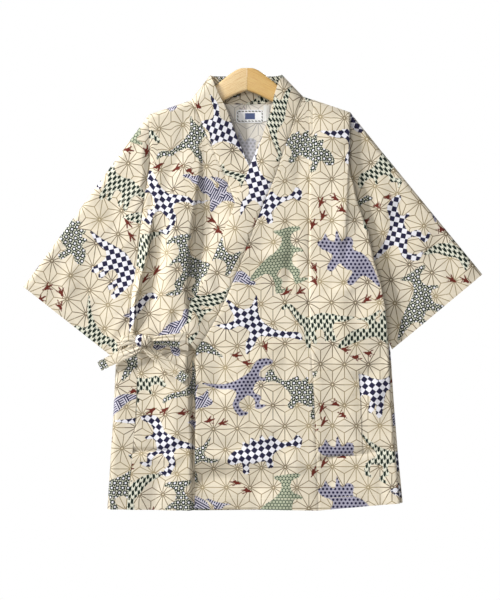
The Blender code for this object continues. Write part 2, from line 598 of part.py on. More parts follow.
def hanger_outline(sign):
    """Half of the hanger seen from the front, from the joint over the crown and back below."""
    side = RIGHT_SIDE[0] if sign < 0 else LEFT_SIDE[0]
    neck_x, neck_z = neck_point(sign)
    neck, seat = HANGER_NECK, HANGER["seat"]
    end_x = side["seam"] - sign * HANGER_TIP["from_armhole"]
    tip_z = top_line(end_x) - seat
    past_neck = neck_x + sign * neck["after"]
    top = [(max(x, HANGER["joint"]) * sign, z) for x, z in HANGER_CROWN]
    top += [(neck_x - sign * neck["before"], neck_z - neck["before_drop"])]
    top += [(past_neck, top_line(past_neck) - neck["after_drop"])]
    for x in (neck_x + sign * neck["rest_from"], end_x - sign * HANGER_TIP["round"]):
        top += [(x, top_line(x) - seat)]
    low = [(end_x - sign * x, tip_z + z) for x, z in HANGER_TIP_LOW]
    low += [(max(x, HANGER["joint"]) * sign, z) for x, z in HANGER_LOW]
    return top + low


def add_hanger():
    for name, sign in (("hanger_right", -1), ("hanger_left", 1)):
        work = bmesh.new()
        points = [work.verts.new((x * MM, -HANGER["half_thick"] * MM, z * MM))
                  for x, z in hanger_outline(sign)]
        face = work.faces.new(points)
        grown = bmesh.ops.extrude_face_region(work, geom=[face])
        moved = [item for item in grown["geom"] if isinstance(item, bmesh.types.BMVert)]
        bmesh.ops.translate(work, verts=moved, vec=(0, 2 * HANGER["half_thick"] * MM, 0))
        bmesh.ops.recalc_face_normals(work, faces=work.faces)
        rim = [edge for edge in work.edges if abs(edge.verts[0].co.y - edge.verts[1].co.y) < MM
               and any(abs(vert.co.x) > MM for vert in edge.verts)]
        bmesh.ops.bevel(work, geom=rim, offset=HANGER["bevel"] * MM, segments=2, profile=0.5,
                        affect="EDGES", clamp_overlap=True)
        mesh = bpy.data.meshes.new(name)
        work.to_mesh(mesh)
        work.free()
        add_object(name, mesh, "wood", 0.5)


clear_scene()
add_back()
add_right_front()
add_right_okumi()
add_left_front()
add_left_okumi()
add_collar()
add_sleeves()
add_pocket()
add_labels()
add_ties()
add_knot()
add_hanger()
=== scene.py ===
# Child's jinbei top on a beech hanger: cloth, print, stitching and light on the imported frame.
# Lengths are in millimetres in the tables and become metres where a mesh is made.
# Left and right are the wearer's: the wearer's left is at +X, the right of the picture.
import bpy
import numpy as np
from functools import partial
from math import cos, pi, radians, sin
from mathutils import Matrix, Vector


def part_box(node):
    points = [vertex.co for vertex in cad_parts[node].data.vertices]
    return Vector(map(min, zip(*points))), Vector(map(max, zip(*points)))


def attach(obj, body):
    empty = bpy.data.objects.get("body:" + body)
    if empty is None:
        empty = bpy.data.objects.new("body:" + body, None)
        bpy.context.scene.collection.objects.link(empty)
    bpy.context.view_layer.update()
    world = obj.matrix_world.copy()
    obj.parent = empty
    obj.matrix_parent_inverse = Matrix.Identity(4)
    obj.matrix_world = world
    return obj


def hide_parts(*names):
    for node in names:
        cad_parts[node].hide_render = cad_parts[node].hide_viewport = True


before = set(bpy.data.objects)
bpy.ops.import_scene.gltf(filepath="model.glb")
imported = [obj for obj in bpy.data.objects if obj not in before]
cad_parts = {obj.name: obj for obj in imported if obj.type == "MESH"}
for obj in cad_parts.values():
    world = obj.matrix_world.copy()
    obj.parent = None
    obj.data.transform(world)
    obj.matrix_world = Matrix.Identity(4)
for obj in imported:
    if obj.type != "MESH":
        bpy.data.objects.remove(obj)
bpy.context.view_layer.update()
bpy.context.scene.view_settings.view_transform = "Standard"
mm = 0.001

# The cloth's shape

cloth = {
    "wall": 0.9,             # one layer of slub cotton and linen
    "bandWall": 1.6,         # collar and ties, folded double
    "frontDepth": 11.0,      # fronts before the hanger's plane
    "backDepth": 11.0,       # back behind it
    "lapDepth": 4.0,         # left front over the right one
    "sleeveDepth": 7.0,
    "edgeHalf": 0.75,        # half the distance of front and back at a folded edge
    "sideEdge": 2.0,         # the left front at its side, where it goes under
    "shoulderRound": 9.0,
    "neckHalf": 91,          # half the width between the collar's seams at the shoulders
    "grain": 2.5,            # distance between points of the fine cloth
    "backGrain": 3.0,
    "seam": 0.12,
    "seamDip": 0.4,          # how far the cloth sinks at a seam
    "layerGap": 1.9,         # least distance of two layers' middles
    "uneven": 1.35,          # height of the small waves
    "hemStitch": 18.0,       # from the hem to its stitching
    "cuffStitch": 20.0,
}
fineSeam = (0, 0.5, 1.2, 2.4)                 # points beside a seam
fineShoulder = (0, 0.4, 1, 1.8, 3, 4.6, 6.6, 9)  # and below the shoulder's fold
fineHem = (0, 1, 2.5)                         # and before hem and cuff

# Sides of the body. Rows: height, x of the armhole or side seam, x of the outermost fold.
rightSide = [
    (-75, -157, -157), (-155, -155, -155), (-195, -162, -162), (-256, -170, -170), (-299, -174, -174),
    (-376, -186, -186), (-420, -188, -188), (-440, -185, -188), (-452, -180, -201), (-462, -174, -209),
    (-563, -178, -214), (-643, -185, -219), (-705, -192, -223),
]
leftSide = [
    (-71, 165, 165), (-166, 163, 163), (-184, 170, 170), (-214, 176, 176), (-262, 194, 194),
    (-307, 202, 202), (-342, 213, 213), (-379, 220, 220), (-430, 225, 226), (-454, 226, 229.5),
    (-539, 230, 235), (-613, 236, 241), (-695, 244, 249),
]
rightUnderarm, leftUnderarm = -440, -430

# Seams between each front and its overlap panel. Rows: height, x.
rightInnerSeam = [(-53, -92), (-57, -88.6), (-65, -82.6), (-72, -79.6), (-79, -77.2), (-93, -75.5),
                  (-131, -74), (-189, -70), (-706, -70)]
leftInnerSeam = [(-51, 105), (-131, 104), (-179, 99), (-371, 98), (-451, 102), (-531, 107), (-611, 110),
                 (-706, 114)]

# Heights that belong to one row of threads, at the two edges of each panel.
rightFrontRows = [(-75, -53), (-104, -79), (-136, -115), (-176, -173), (-228, -236), (-300, -314),
                  (-376, -392), (-412, -416), (-466, -468), (-705, -706)]
leftFrontRows = [(-51, -71), (-69, -90), (-107, -122), (-157, -166), (-216, -212), (-292, -280),
                 (-369, -355), (-428, -420), (-485, -478), (-577, -568), (-706, -695)]
leftLapRows = [(-46, -51), (-58, -60), (-83, -86), (-133, -135), (-254, -255), (-368, -369), (-450, -451),
               (-577, -577), (-703, -706)]
rightLapRows = [(-79, -79), (-706, -705)]

# Collar, from its end on the wearer's left round the neck to its end on the right.
# Rows: x and z of the free edge, x and z of the seam, side (-1 in front, 1 behind).
collarRows = [
    (-107, -421, -82, -450, -1), (-94, -403, -66, -427, -1), (-91, -376, -50, -400, -1),
    (-73, -352, -34, -368, -1), (-58, -315, -19, -331, -1), (-27, -238, 11, -254, -1),
    (4, -160, 43, -176, -1), (27, -102, 58, -133, -1), (39, -67, 68, -104, -1), (43, -46, 75, -83, -1),
    (49, -27, 82, -65, -1), (54, -14, 88, -52, -0.75), (56, -10, 91, -46, 0), (54, -11, 88, -47, 0.75),
    (46, -12, 78, -50, 1), (24, -12, 40, -55, 1), (0, -12, 0, -57, 1), (-24, -12, -40, -56, 1),
    (-48, -12, -78, -54, 1), (-57, -12, -88, -53, 0.75), (-59, -11, -91, -52, 0),
    (-57, -15, -88, -57, -0.75), (-52, -27, -82, -65, -1), (-45, -43, -76, -79, -1),
    (-35, -62, -70, -93, -1), (-26, -85, -61, -115, -1), (-10, -127, -48, -145, -1),
    (5, -160, -35, -173, -1), (27, -222, -11, -236, -1), (58, -300, 19, -314, -1),
    (88, -376, 50, -392, -1), (97, -421, 81, -440, -1),
]
leftBand, rightBand, backBand = range(0, 13), range(20, 32), range(12, 21)

rightSleeve = {"tip": (-158, -76), "cuffTop": (-357, -350), "cuffBottom": (-207, -468),
               "underarm": (-190, -442)}
leftSleeve = {"tip": (165.5, -73), "cuffTop": (376, -330), "cuffBottom": (232, -450),
              "underarm": (224, -432)}

# Large folds. Rows: height, x of the crest, how far it stands out, width to the left, width to the right.
rightRidge = [
    (-125, -74, 0, 40, 8), (-179, -78.6, 5, 60, 7), (-211, -83.5, 6.5, 70, 6), (-243, -88.6, 7.5, 80, 6),
    (-275, -92.6, 7.5, 70, 6), (-339, -96, 7.5, 70, 6), (-371, -99, 6.5, 60, 8), (-415, -97, 4, 56, 12),
    (-450, -98, 8.5, 52, 10), (-490, -98, 10, 66, 9), (-515, -95, 8.5, 66, 8), (-565, -91, 7.5, 60, 5.5),
    (-612, -88.5, 7.5, 66, 3.6), (-706, -88, 6.5, 66, 3.6),
]
# Ridge of the right front beside its sleeve. Rows: height, distance from the seam, how far out,
# width inwards.
sleeveRidge = [(-215, 16, 0, 9), (-250, 16, 9, 5), (-305, 14, 13, 4.5), (-345, 9, 13, 4.5),
               (-405, 6.5, 10, 5), (-440, 6, 0, 9)]
# The right sleeve's swelling at its shoulder, the left front's lift over its sleeve, and its lift where the
# tie starts. Rows: height, how far out.
sleeveBulge = [(-100, 0), (-122, 3.5), (-160, 4), (-195, 2.5), (-225, 0)]
leftOverSleeve = [(-76, 0), (-92, 8), (-200, 12), (-300, 12.5), (-415, 12), (-455, 4), (-520, 0)]
tieCorner = [(-340, 0), (-385, 5), (-450, 5), (-480, 0)]
# Shoulder tucks. Rows: height, x of the fold's edge, how far the cloth beyond it lies back.
rightTuck = [(-180, -146, 0), (-230, -148, 4), (-320, -151.5, 4), (-356, -152, 0)]
leftTuck = [(-64, 163, 0), (-84, 163, 2), (-166, 161, 2), (-240, 158, 2.6), (-285, 156, 2), (-310, 155, 0)]


def rise(value, start, end):     # smooth, from 0 at the start to 1 at the end
    part = np.clip((value - start) / (end - start), 0, 1)
    return part * part * (3 - 2 * part)


def roundOver(distance, reach):  # quarter round, 0 at the edge and 1 from the reach on
    part = np.clip(distance / reach, 0, 1)
    return np.sqrt(1 - (1 - part) ** 2)


def hump(distance, left, right, flat=0.0):
    # 1 on a slightly sharp crest, 0 a width away on each side, and flat for a part of the left width
    part = np.abs(distance) / np.where(distance < 0, left, right)
    sharp = np.clip(1 - (np.sqrt(part ** 2 + 0.01) - 0.1) / 0.905, 0, 1) ** 1.25
    return np.where((distance < 0) & (flat > 0), 1 - rise(part, flat, 1), sharp)


def atHeight(table, z, column=1, soft=5):
    # a column's value at a height, straight between the rows, with its corners eased by soft
    heights, values = (np.array([row[k] for row in table], float) for k in (0, column))
    shifts = (-1, -0.5, 0, 0.5, 1)
    return sum(np.interp(-np.asarray(z, float) + soft * shift, -heights, values) for shift in shifts) / 5


def splinePoint(before, start, end, after, part):      # on a smooth curve between start and end
    return 0.5 * (2 * start + (end - before) * part + (2 * before - 5 * start + 4 * end - after) * part ** 2
                  + (3 * start - before - 3 * end + after) * part ** 3)


def runOf(points):               # distance along a line of points
    return np.concatenate([[0], np.cumsum(np.linalg.norm(np.diff(points, axis=0), axis=1))])


shoulderPoints = [(-157, -75), *(collarRows[i][2:4] for i in reversed(backBand)), (165, -71)]


def topLine(x):
    return np.interp(x, *zip(*shoulderPoints))


def opened(x, z):                # 0 on the shoulder's fold, 1 where front and back are fully apart
    inside = np.maximum(0, cloth["neckHalf"] - np.abs(x))
    return roundOver(topLine(x) - z + inside, cloth["shoulderRound"])


def foldHeight(x, z, folds):
    # soft ridges (above 0) and troughs (below 0), each a path of x, z and height, with its half width
    total = np.zeros(np.shape(x))
    for path, width in folds:
        nearest, height = np.full(np.shape(x), 1e9), np.zeros(np.shape(x))
        for (ax, az, ah), (bx, bz, bh) in zip(path, path[1:]):
            dx, dz = bx - ax, bz - az
            part = np.clip(((x - ax) * dx + (z - az) * dz) / (dx * dx + dz * dz), 0, 1)
            gap = np.hypot(x - ax - part * dx, z - az - part * dz)
            height = np.where(gap < nearest, ah + (bh - ah) * part, height)
            nearest = np.minimum(nearest, gap)
        total += height * np.exp(-(nearest / width) ** 2)
    return total


waves = np.random.default_rng(7)
ripples = [(waves.uniform(0, 2 * pi), waves.uniform(20, 90), waves.uniform(0, 2 * pi)) for _ in range(20)]


def unevenness(x, z, height):    # the slight waviness of cloth that has been folded and hung
    x, z = x + 9 * np.sin(z / 31), z + 9 * np.sin(x / 27 + 1)
    total = np.zeros(np.shape(x))
    for turn, length, start in ripples:
        total += np.sin((x * cos(turn) + z * sin(turn)) * 2 * pi / length + start) * length / 70
    patches = 0.55 + 0.45 * np.sin(x / 37 + 2 * np.sin(z / 53)) * np.sin(z / 41 + 1)
    return total * patches * height / 3


def pucker(distance, along):     # the small gathers that a seam's thread pulls in
    return 0.28 * np.exp(-(distance / 7) ** 2) * np.sin(along * 2 * pi / 11 + 2.2 * np.sin(along / 17))


# Folds: path of (x, z, height), half width. Heights above 0 are ridges, those below 0 troughs.
rightFrontFolds = [
    # from the shoulder down to the underarm, deep where the arm hangs
    ([(-98, -64, 0), (-100, -95, -1.4), (-106, -136, -2), (-120, -166, -2.4), (-128, -203, -1.6),
      (-134, -243, 0)], 10),
    ([(-131, -236, 0), (-136, -270, -6), (-139, -307, -7.5), (-147, -339, -7), (-156, -371, -6),
      (-168, -408, -4)], 11),
    # the deepest place behind the large ridge
    ([(-76, -200, 0), (-80, -275, -2), (-82, -323, -4), (-88, -355, -4), (-94, -386, 0)], 10),
    ([(-158, -92, 0), (-157, -120, -1.5), (-156.5, -155, -2.5), (-160, -186, -1.5), (-165, -210, 0)], 5.5),
    ([(-146, -130, 0), (-141, -170, 2), (-147, -230, 2), (-152, -262, 0)], 9),
    ([(-78, -110, 0), (-80, -135, 1.6), (-78, -165, 0)], 9),
    # creases of the packing
    ([(-210, -608, -3.6), (-165, -612, -5), (-131, -612, -4.6), (-108, -606, 0)], 4.2),
    ([(-208, -620, 1.6), (-165, -624, 2), (-120, -624, 1.8), (-90, -616, 0)], 6),
    # pulled in by the tie
    ([(-184, -452, 0), (-160, -457, -4.5), (-130, -452, -6), (-96, -455, -4.5)], 6.5),
    ([(-176, -474, 1), (-140, -476, 2.2), (-104, -474, 1)], 9),
    ([(-160, -464, 0), (-152, -500, 1.8), (-146, -540, 0)], 10),
    ([(-140, -460, 0), (-126, -485, 1.8), (-118, -520, 0)], 8),
    ([(-176, -470, 0), (-180, -510, -1.8), (-186, -560, 0)], 9),
    ([(-140, -424, 0), (-128, -404, 2), (-122, -376, 0)], 7),
    ([(-118, -420, -2), (-112, -398, -1.8), (-108, -380, 0)], 6),
    ([(-176, -640, 0), (-168, -670, 1.6), (-170, -704, 1.2)], 12),
    ([(-200, -716, 3.5), (-90, -716, 3.5)], 40),
    ([(-140, -640, 0), (-142, -672, -1.8), (-146, -706, -1.2)], 9),
    ([(-108, -660, 0), (-106, -690, -2.2), (-104, -706, -2.4)], 8),
]
leftFrontFolds = [
    ([(66, -222, 0), (71, -275, -2.6), (68, -330, -3.4), (62, -362, 0)], 9),
    ([(88, -240, 0), (90, -300, 1.4), (86, -360, 0)], 10),
    # the chest stands out over the lap, which falls back below it
    ([(-62, -300, 2.4), (0, -302, 2.2), (66, -296, 1.4), (110, -300, 0)], 9),
    ([(-70, -270, 3), (0, -268, 3), (70, -262, 2)], 48),
    ([(-48, -335, -2.6), (-44, -352, -2.8), (-40, -372, 0)], 8),
    ([(139, -343, 0), (152, -347, -1.8), (170, -344, 0)], 3.5),
    ([(139, -352, 0), (155, -356, 1.2), (172, -353, 0)], 5),
    ([(152, -258, 0), (154, -290, -2.2), (160, -326, 0)], 5),
    # creases of the packing
    ([(-84, -604, -1.4), (0, -606, -1.6), (80, -606, -1), (118, -612, 0)], 7),
    ([(-84, -622, 5), (-45, -622, 5), (5, -626, 4), (60, -630, 2.6), (112, -634, 1)], 11),
    ([(-84, -652, -9), (-36, -655, -9), (6, -668, -7), (50, -682, -1)], 14),
    ([(108, -630, 0), (117, -627, -1.8), (146, -620, -2.6), (192, -615, -2.6), (232, -610, -1)], 4.5),
    ([(146, -602, 1), (192, -598, 1.2), (230, -594, 0.6)], 8),
    ([(20, -420, 0), (26, -480, 1.7), (20, -560, 0)], 14),
    ([(-52, -420, 0), (-44, -500, -1.8), (-50, -590, 0)], 12),
    ([(66, -420, 0), (58, -500, -1.6), (64, -590, 0)], 12),
    ([(84, -110, 0), (82, -170, -1.6), (78, -230, 0)], 9),
    ([(190, -460, 0), (200, -540, 2), (206, -600, 0)], 12),
    ([(218, -440, 0), (222, -510, -2), (228, -580, 0)], 8),
    ([(170, -640, 0), (168, -672, 1.8), (172, -704, 1.2)], 12),
    ([(212, -630, 0), (214, -664, -2), (218, -700, -1.6)], 9),
    ([(-84, -404, 0), (-58, -392, 1.8), (-28, -398, 0)], 9),
    ([(60, -640, 0), (66, -675, 1.8), (64, -706, 1.4)], 12),
    ([(16, -640, 0), (14, -675, -1.6), (18, -706, -1.6)], 9),
    ([(60, -716, 4), (240, -712, 5)], 42),
]
backFolds = [
    ([(-8, -74, 1.8), (32, -72, 1.8)], 19),            # behind the label
    ([(2, -148, -15), (6, -175, -15), (4, -240, -8), (0, -340, 0)], 34),    # drawn forward below the hanger
    ([(-96, -120, 0), (-92, -220, 2.8), (-104, -360, 1.2), (-100, -480, 0)], 15),
    ([(90, -130, 0), (98, -240, 3), (90, -390, 0)], 14),
    ([(0, -90, 0), (4, -200, -2), (-4, -380, 0)], 18),
    ([(-150, -170, 0), (-146, -260, -3), (-158, -390, -2), (-162, -440, 0)], 11),
    ([(150, -170, 0), (154, -270, -3), (176, -400, -1.6), (180, -440, 0)], 12),
    ([(-180, -322, 0), (-60, -330, -1.8), (60, -326, -2), (190, -334, 0)], 4.5),
    ([(-200, -604, 0), (-80, -616, -2.2), (90, -608, -2), (220, -618, 0)], 4.5),
    ([(-60, -440, 0), (-46, -540, 2.6), (-60, -690, 1.6)], 18),
    ([(130, -450, 0), (120, -560, 2.8), (130, -700, 1.8)], 17),
    ([(40, -500, 0), (34, -600, -2.2), (44, -706, -1.8)], 15),
    ([(-150, -480, 0), (-156, -600, -2.2), (-150, -706, -1.6)], 15),
]

# What is particular to each front
rightShape = {
    "crestFlat": 0.3,        # part of the large ridge's left width that is flat
    "sleevePart": -100,      # x where the part beside the sleeve ends
    "dip": 0.5,              # the cloth between its ridge and the seam lies back, as part of the height
    "dipReach": 22,
    "outerWidth": 2.2,       # of that ridge, over its distance from the seam
    "lapBack": 6,            # how far it lies back between the large ridge and the overlap
    "edgeBack": 5.5,         # and just before the left front's edge; its place and half width
    "edgePlace": -2.5,
    "edgeWidth": 2.4,
}
leftShape = {
    "sidePart": 100,         # x where the part beside the sleeve starts
    "lapEnd": (100, 140),    # x where the lap over the right front ends
    "liftStart": (80, 166),  # x where the lift over the sleeve starts
    "tieCorner": (-62, -92),
    "edgeRound": 2.2,
    "edgeDrop": 5,           # how much further out the side edge is below the sleeve
}


def rightFrontOut(x, z):
    crest, seam, inside = atHeight(rightRidge, z, 1, 12), atHeight(rightSide, z), atHeight(sleeveRidge, z)
    out = cloth["frontDepth"] + atHeight(rightRidge, z, 2, 12) * hump(
        x - crest, atHeight(rightRidge, z, 3), atHeight(rightRidge, z, 4), rightShape["crestFlat"])
    # the ridge beside the sleeve rises from lower cloth, and the tuck steps back
    ridge = atHeight(sleeveRidge, z, 2, 8)
    beside = -ridge * rightShape["dip"] * (1 - rise(x - seam, 0, rightShape["dipReach"])) + ridge * hump(
        x - seam - inside, inside * rightShape["outerWidth"], atHeight(sleeveRidge, z, 3))
    tuck, step = atHeight(rightTuck, z), atHeight(rightTuck, z, 2)
    beside = beside - step * (1 - rise(x, tuck - 3, tuck + 1)) * rise(x - seam, 4, 16)
    out = out + np.where(x < rightShape["sleevePart"], beside, 0)
    # between the large ridge and the overlap the cloth lies back
    edge = leftFreeEdge(z)
    low = rise(x, crest, crest + 7) * (1 - rise(x, edge - 30, edge + 4))
    low = low * rise(-z, 150, 250) * (1 - rise(-z, 300, 370))
    # and sinks just before the left front's edge
    sink = np.exp(-((x - edge - rightShape["edgePlace"]) / rightShape["edgeWidth"]) ** 2)
    out = out - (rightShape["lapBack"] * low + rightShape["edgeBack"] * sink * rise(-z, 432, 446))
    return out + foldHeight(x, z, rightFrontFolds) + unevenness(x, z, cloth["uneven"])


def sideEdge(z):                 # how far out the left front's side edge is
    return cloth["sideEdge"] + leftShape["edgeDrop"] * rise(-z, 430, 450)


def leftFrontOut(x, z):
    lap = (1 - rise(x, *leftShape["lapEnd"])) * rise(z, -60, -150)
    corner = atHeight(tieCorner, z) * rise(x, *leftShape["tieCorner"])
    out = cloth["frontDepth"] + cloth["lapDepth"] * lap + corner
    seam, tuck, step = atHeight(leftSide, z), atHeight(leftTuck, z), atHeight(leftTuck, z, 2)
    edge = (1 - roundOver(seam - x, leftShape["edgeRound"])) * rise(z, -76, -90)
    lift = atHeight(leftOverSleeve, z) * rise(x, *leftShape["liftStart"])
    side = lift - step * rise(x, tuck - 0.3, tuck + 1.0)
    out = out + np.where(x > leftShape["sidePart"], side, 0) + foldHeight(x, z, leftFrontFolds)
    out = out + unevenness(x + 60, z, cloth["uneven"])
    return np.where(x > leftShape["sidePart"], out + (sideEdge(z) - out) * edge, out)


def standing(out, x, z):         # how far a cloth stands out that comes together at the shoulder's fold
    return cloth["edgeHalf"] + (out - cloth["edgeHalf"]) * opened(x, z)


def leftDepth(x, z):
    return -standing(leftFrontOut(x, z), x, z)


def bandEdge(band, column, z, below=()):     # x of a band's free edge (column 0) or seam (column 2)
    points = sorted([*((-collarRows[i][column + 1], collarRows[i][column]) for i in band), *below])
    return np.interp(-np.asarray(z, float), *zip(*points))


def leftFreeEdge(z):             # x where the left front ends, so that the right one shows beyond it
    return bandEdge(leftBand, 0, z, [(450, -83), (706, -84.5)])


def rightDepth(x, z):            # the right front keeps below the left one
    y = -standing(rightFrontOut(x, z), x, z)
    under = leftDepth(x, z) + cloth["layerGap"]
    covered = rise(x, leftFreeEdge(z) - 6, leftFreeEdge(z) + 1)
    return np.where(y < under, y + (under - y) * covered, y)


def backDepth(x, z):
    out = cloth["backDepth"] + foldHeight(x, z, backFolds) + unevenness(x - 90, z + 40, cloth["uneven"])
    return standing(out, x, z)


# Sheets of points

def places(length, grain, fine=(0,), fineEnd=(0,)):
    # places along a length: fine ones at its start, even steps, fine ones before its end
    first, last = fine[-1], length - fineEnd[-1]
    count = max(2, round((last - first) / grain))
    even = first + (last - first) * np.arange(count + 1) / count
    return np.concatenate([fine[:-1], even, length - np.array(fineEnd[:-1])[::-1]])


def panelPoints(leftEdge, rightEdge, rows, depth, fine=fineShoulder):
    # points between two edges, in rows that join the heights of one row of threads
    grain = cloth["grain"]
    left, right = (np.array(column, float) for column in zip(*rows))
    along = np.concatenate([[0], np.cumsum(np.abs(np.diff(left + right)) / 2)])
    place = places(along[-1], grain, fine, fineHem)
    leftZ, rightZ = np.interp(place, along, left)[:, None], np.interp(place, along, right)[:, None]
    leftX, rightX = leftEdge(leftZ), rightEdge(rightZ)
    width = rightX - leftX
    tight = np.minimum(1, width / (4 * fineSeam[-1]))
    near, far = np.array(fineSeam[:-1]) * tight, fineSeam[-1] * tight
    count = round(float(width.max()) / grain)
    middle = leftX + far + (width - 2 * far) * np.arange(count + 1) / count
    x = np.concatenate([leftX + near, middle, rightX - near[:, ::-1]], axis=1)
    z = leftZ + (rightZ - leftZ) * (x - leftX) / width
    y = depth(x, z)
    beside = np.minimum(x - leftX, rightX - x)
    y = y - np.sign(y) * (cloth["seamDip"] * np.exp(-(beside / 1.7) ** 2) - pucker(beside, z))
    return np.stack([x, y, z], axis=2)


def hemStitch(flat):             # distance from the stitching above the last row
    return flat[..., 1] - flat[-1:, :, 1] - cloth["hemStitch"]


def printPlaces(points, reference, start):
    # places on the flat cloth, measured along it from one column and from the hem
    across = np.hypot(np.diff(points[..., 0], axis=1), np.diff(points[..., 1], axis=1))
    u = np.concatenate([np.zeros((len(points), 1)), np.cumsum(across, axis=1)], axis=1)
    u += points[:, reference, 0][:, None] - u[:, reference][:, None]
    down = np.hypot(np.diff(points[..., 2], axis=0), np.diff(points[..., 1], axis=0))[::-1]
    v = np.concatenate([np.zeros((1, points.shape[1])), np.cumsum(down, axis=0)])[::-1] + points[-1, :, 2]
    return np.stack([u, v], axis=2) + start


# The print: own animal shapes and footprints, in a repeat of 11 stars by 12 rows

star = {"pitch": 38.0, "row": 32.91}
bare = -12.0                     # mm inside a figure, where there is none near
repeat = {"width": 11 * star["pitch"], "height": 12 * star["row"]}
fills = {"check": 0, "dots": 1, "lattice": 2, "feather": 3, "maze": 4, "mesh": 5}
animals = {                      # outlines in mm, drawn with few points and rounded by a curve
    "longNeck": [(-58, 4), (-40, 10), (-24, 17), (-8, 22), (8, 20), (18, 22), (26, 32), (32, 44), (40, 48),
                 (48, 46), (48, 41), (41, 41), (37, 36), (33, 24), (28, 12), (25, 6), (27, -22), (20, -23),
                 (17, -6), (15, -20), (9, -20), (8, -3), (-4, -4), (-3, -20), (-9, -21), (-10, -6),
                 (-13, -23), (-20, -23), (-19, -4), (-26, 4), (-40, 2)],
    "runner": [(-60, 20), (-38, 14), (-18, 12), (-4, 14), (8, 18), (16, 26), (24, 32), (36, 31), (44, 26),
               (42, 22), (33, 21), (26, 18), (22, 10), (30, 4), (28, 1), (19, 4), (12, -2), (10, -10),
               (18, -18), (14, -28), (22, -31), (20, -34), (8, -33), (9, -20), (2, -12), (-4, -14),
               (-14, -20), (-10, -32), (-4, -35), (-6, -38), (-17, -36), (-22, -19), (-14, -6), (-18, 2),
               (-38, 8)],
    "swimmer": [(58, 22), (52, 27), (44, 25), (34, 18), (22, 12), (8, 12), (-4, 16), (-14, 26), (-22, 34),
                (-19, 20), (-24, 12), (-36, 8), (-52, 10), (-38, 2), (-26, -4), (-30, -16), (-40, -26),
                (-24, -20), (-16, -8), (0, -8), (4, -20), (14, -32), (14, -16), (12, -5), (24, 2), (36, 10),
                (48, 18)],
    "flyer": [(-60, 14), (-38, 22), (-20, 20), (-8, 12), (-6, 24), (-16, 32), (2, 26), (22, 24), (6, 18),
              (8, 12), (20, 20), (40, 20), (60, 8), (40, 8), (26, 2), (12, -2), (6, -14), (2, -20),
              (-2, -14), (-8, -2), (-24, 4), (-42, 8)],
    "clubTail": [(-62, 6), (-56, 14), (-48, 8), (-34, 8), (-26, 16), (-20, 22), (-14, 17), (-8, 27),
                 (-2, 19), (6, 28), (11, 19), (18, 25), (22, 15), (32, 16), (42, 10), (46, 2), (38, -3),
                 (30, -2), (27, -6), (28, -20), (20, -20), (18, -7), (10, -9), (-4, -10), (-6, -21),
                 (-14, -21), (-15, -8), (-24, -2), (-36, 1), (-48, 0), (-56, -5)],
    "horned": [(56, -6), (40, 6), (24, 16), (6, 20), (-8, 18), (-16, 30), (-26, 27), (-28, 18), (-44, 28),
               (-36, 12), (-46, 10), (-54, 14), (-52, 4), (-56, -4), (-46, -8), (-34, -6), (-26, -8),
               (-24, -26), (-15, -26), (-13, -10), (0, -12), (10, -10), (12, -26), (21, -26), (24, -8),
               (34, -4)],
    "duckBill": [(-58, -6), (-40, 6), (-22, 14), (-6, 18), (6, 24), (12, 34), (4, 46), (16, 44), (24, 42),
                 (38, 38), (40, 33), (28, 32), (22, 26), (22, 16), (30, 8), (32, 2), (22, 6), (16, 2),
                 (12, -8), (18, -20), (14, -30), (24, -33), (22, -36), (6, -35), (6, -20), (-2, -8),
                 (-14, -12), (-10, -24), (-16, -34), (-6, -37), (-8, -40), (-24, -37), (-20, -22),
                 (-24, -6), (-40, -4)],
}
# Where each lies in the repeat. Rows: shape, fill, x, y, turn in degrees, mirrored (-1) or not, size.
motifs = [
    ("longNeck", "check", 52, 52, -14, 1, 1.3), ("horned", "maze", 165, 28, 18, -1, 1.15),
    ("runner", "dots", 279, 65, 12, 1, 1.15), ("clubTail", "lattice", 372, 46, -28, 1, 1.15),
    ("flyer", "feather", 74, 150, 34, 1, 1.15), ("duckBill", "lattice", 176, 132, -8, -1, 1.2),
    ("swimmer", "check", 292, 160, -38, 1, 1.3), ("longNeck", "feather", 398, 156, 14, -1, 1.05),
    ("runner", "check", 134, 244, -20, -1, 1.25), ("horned", "dots", 30, 262, -34, 1, 1.1),
    ("flyer", "maze", 227, 244, -24, -1, 1.15), ("duckBill", "mesh", 338, 262, 22, 1, 1.15),
    ("swimmer", "lattice", 190, 338, 42, -1, 1.05), ("clubTail", "check", 302, 350, 14, -1, 1.15),
    ("runner", "feather", 84, 342, -30, 1, 1.0),
]
# Footprints in short walks. Rows: x and y of the first, heading in degrees, how many.
walks = [(222, 8, -70, 2), (316, 128, 20, 1), (18, 118, -100, 3), (232, 196, 60, 2), (346, 208, -60, 2),
         (58, 198, -50, 2), (160, 290, -80, 2), (282, 296, 80, 2), (392, 318, -20, 3), (130, 308, 120, 2),
         (262, 112, -100, 2), (20, 350, 60, 2), (396, 232, 30, 2), (104, 118, -20, 2)]
footprint = {"stride": 19, "straddle": 5,        # rows below: both ends of each toe and half its width
             "toes": [(0, -3, 0, 1, 2.3), (0, 0, 0, 11, 1.7), (-0.5, -1, -6.4, 7, 1.5),
                      (0.5, -1, 6.4, 7, 1.5), (0, -3, -1, -8, 1.3)]}


def rounded(points):             # a closed curve through the points, with four steps between two of them
    before, start, end, after = (np.roll(np.array(points, float), -shift, 0) for shift in (-1, 0, 1, 2))
    curve = [splinePoint(before, start, end, after, part) for part in (0, 0.25, 0.5, 0.75)]
    return np.stack(curve, axis=1).reshape(-1, 2)


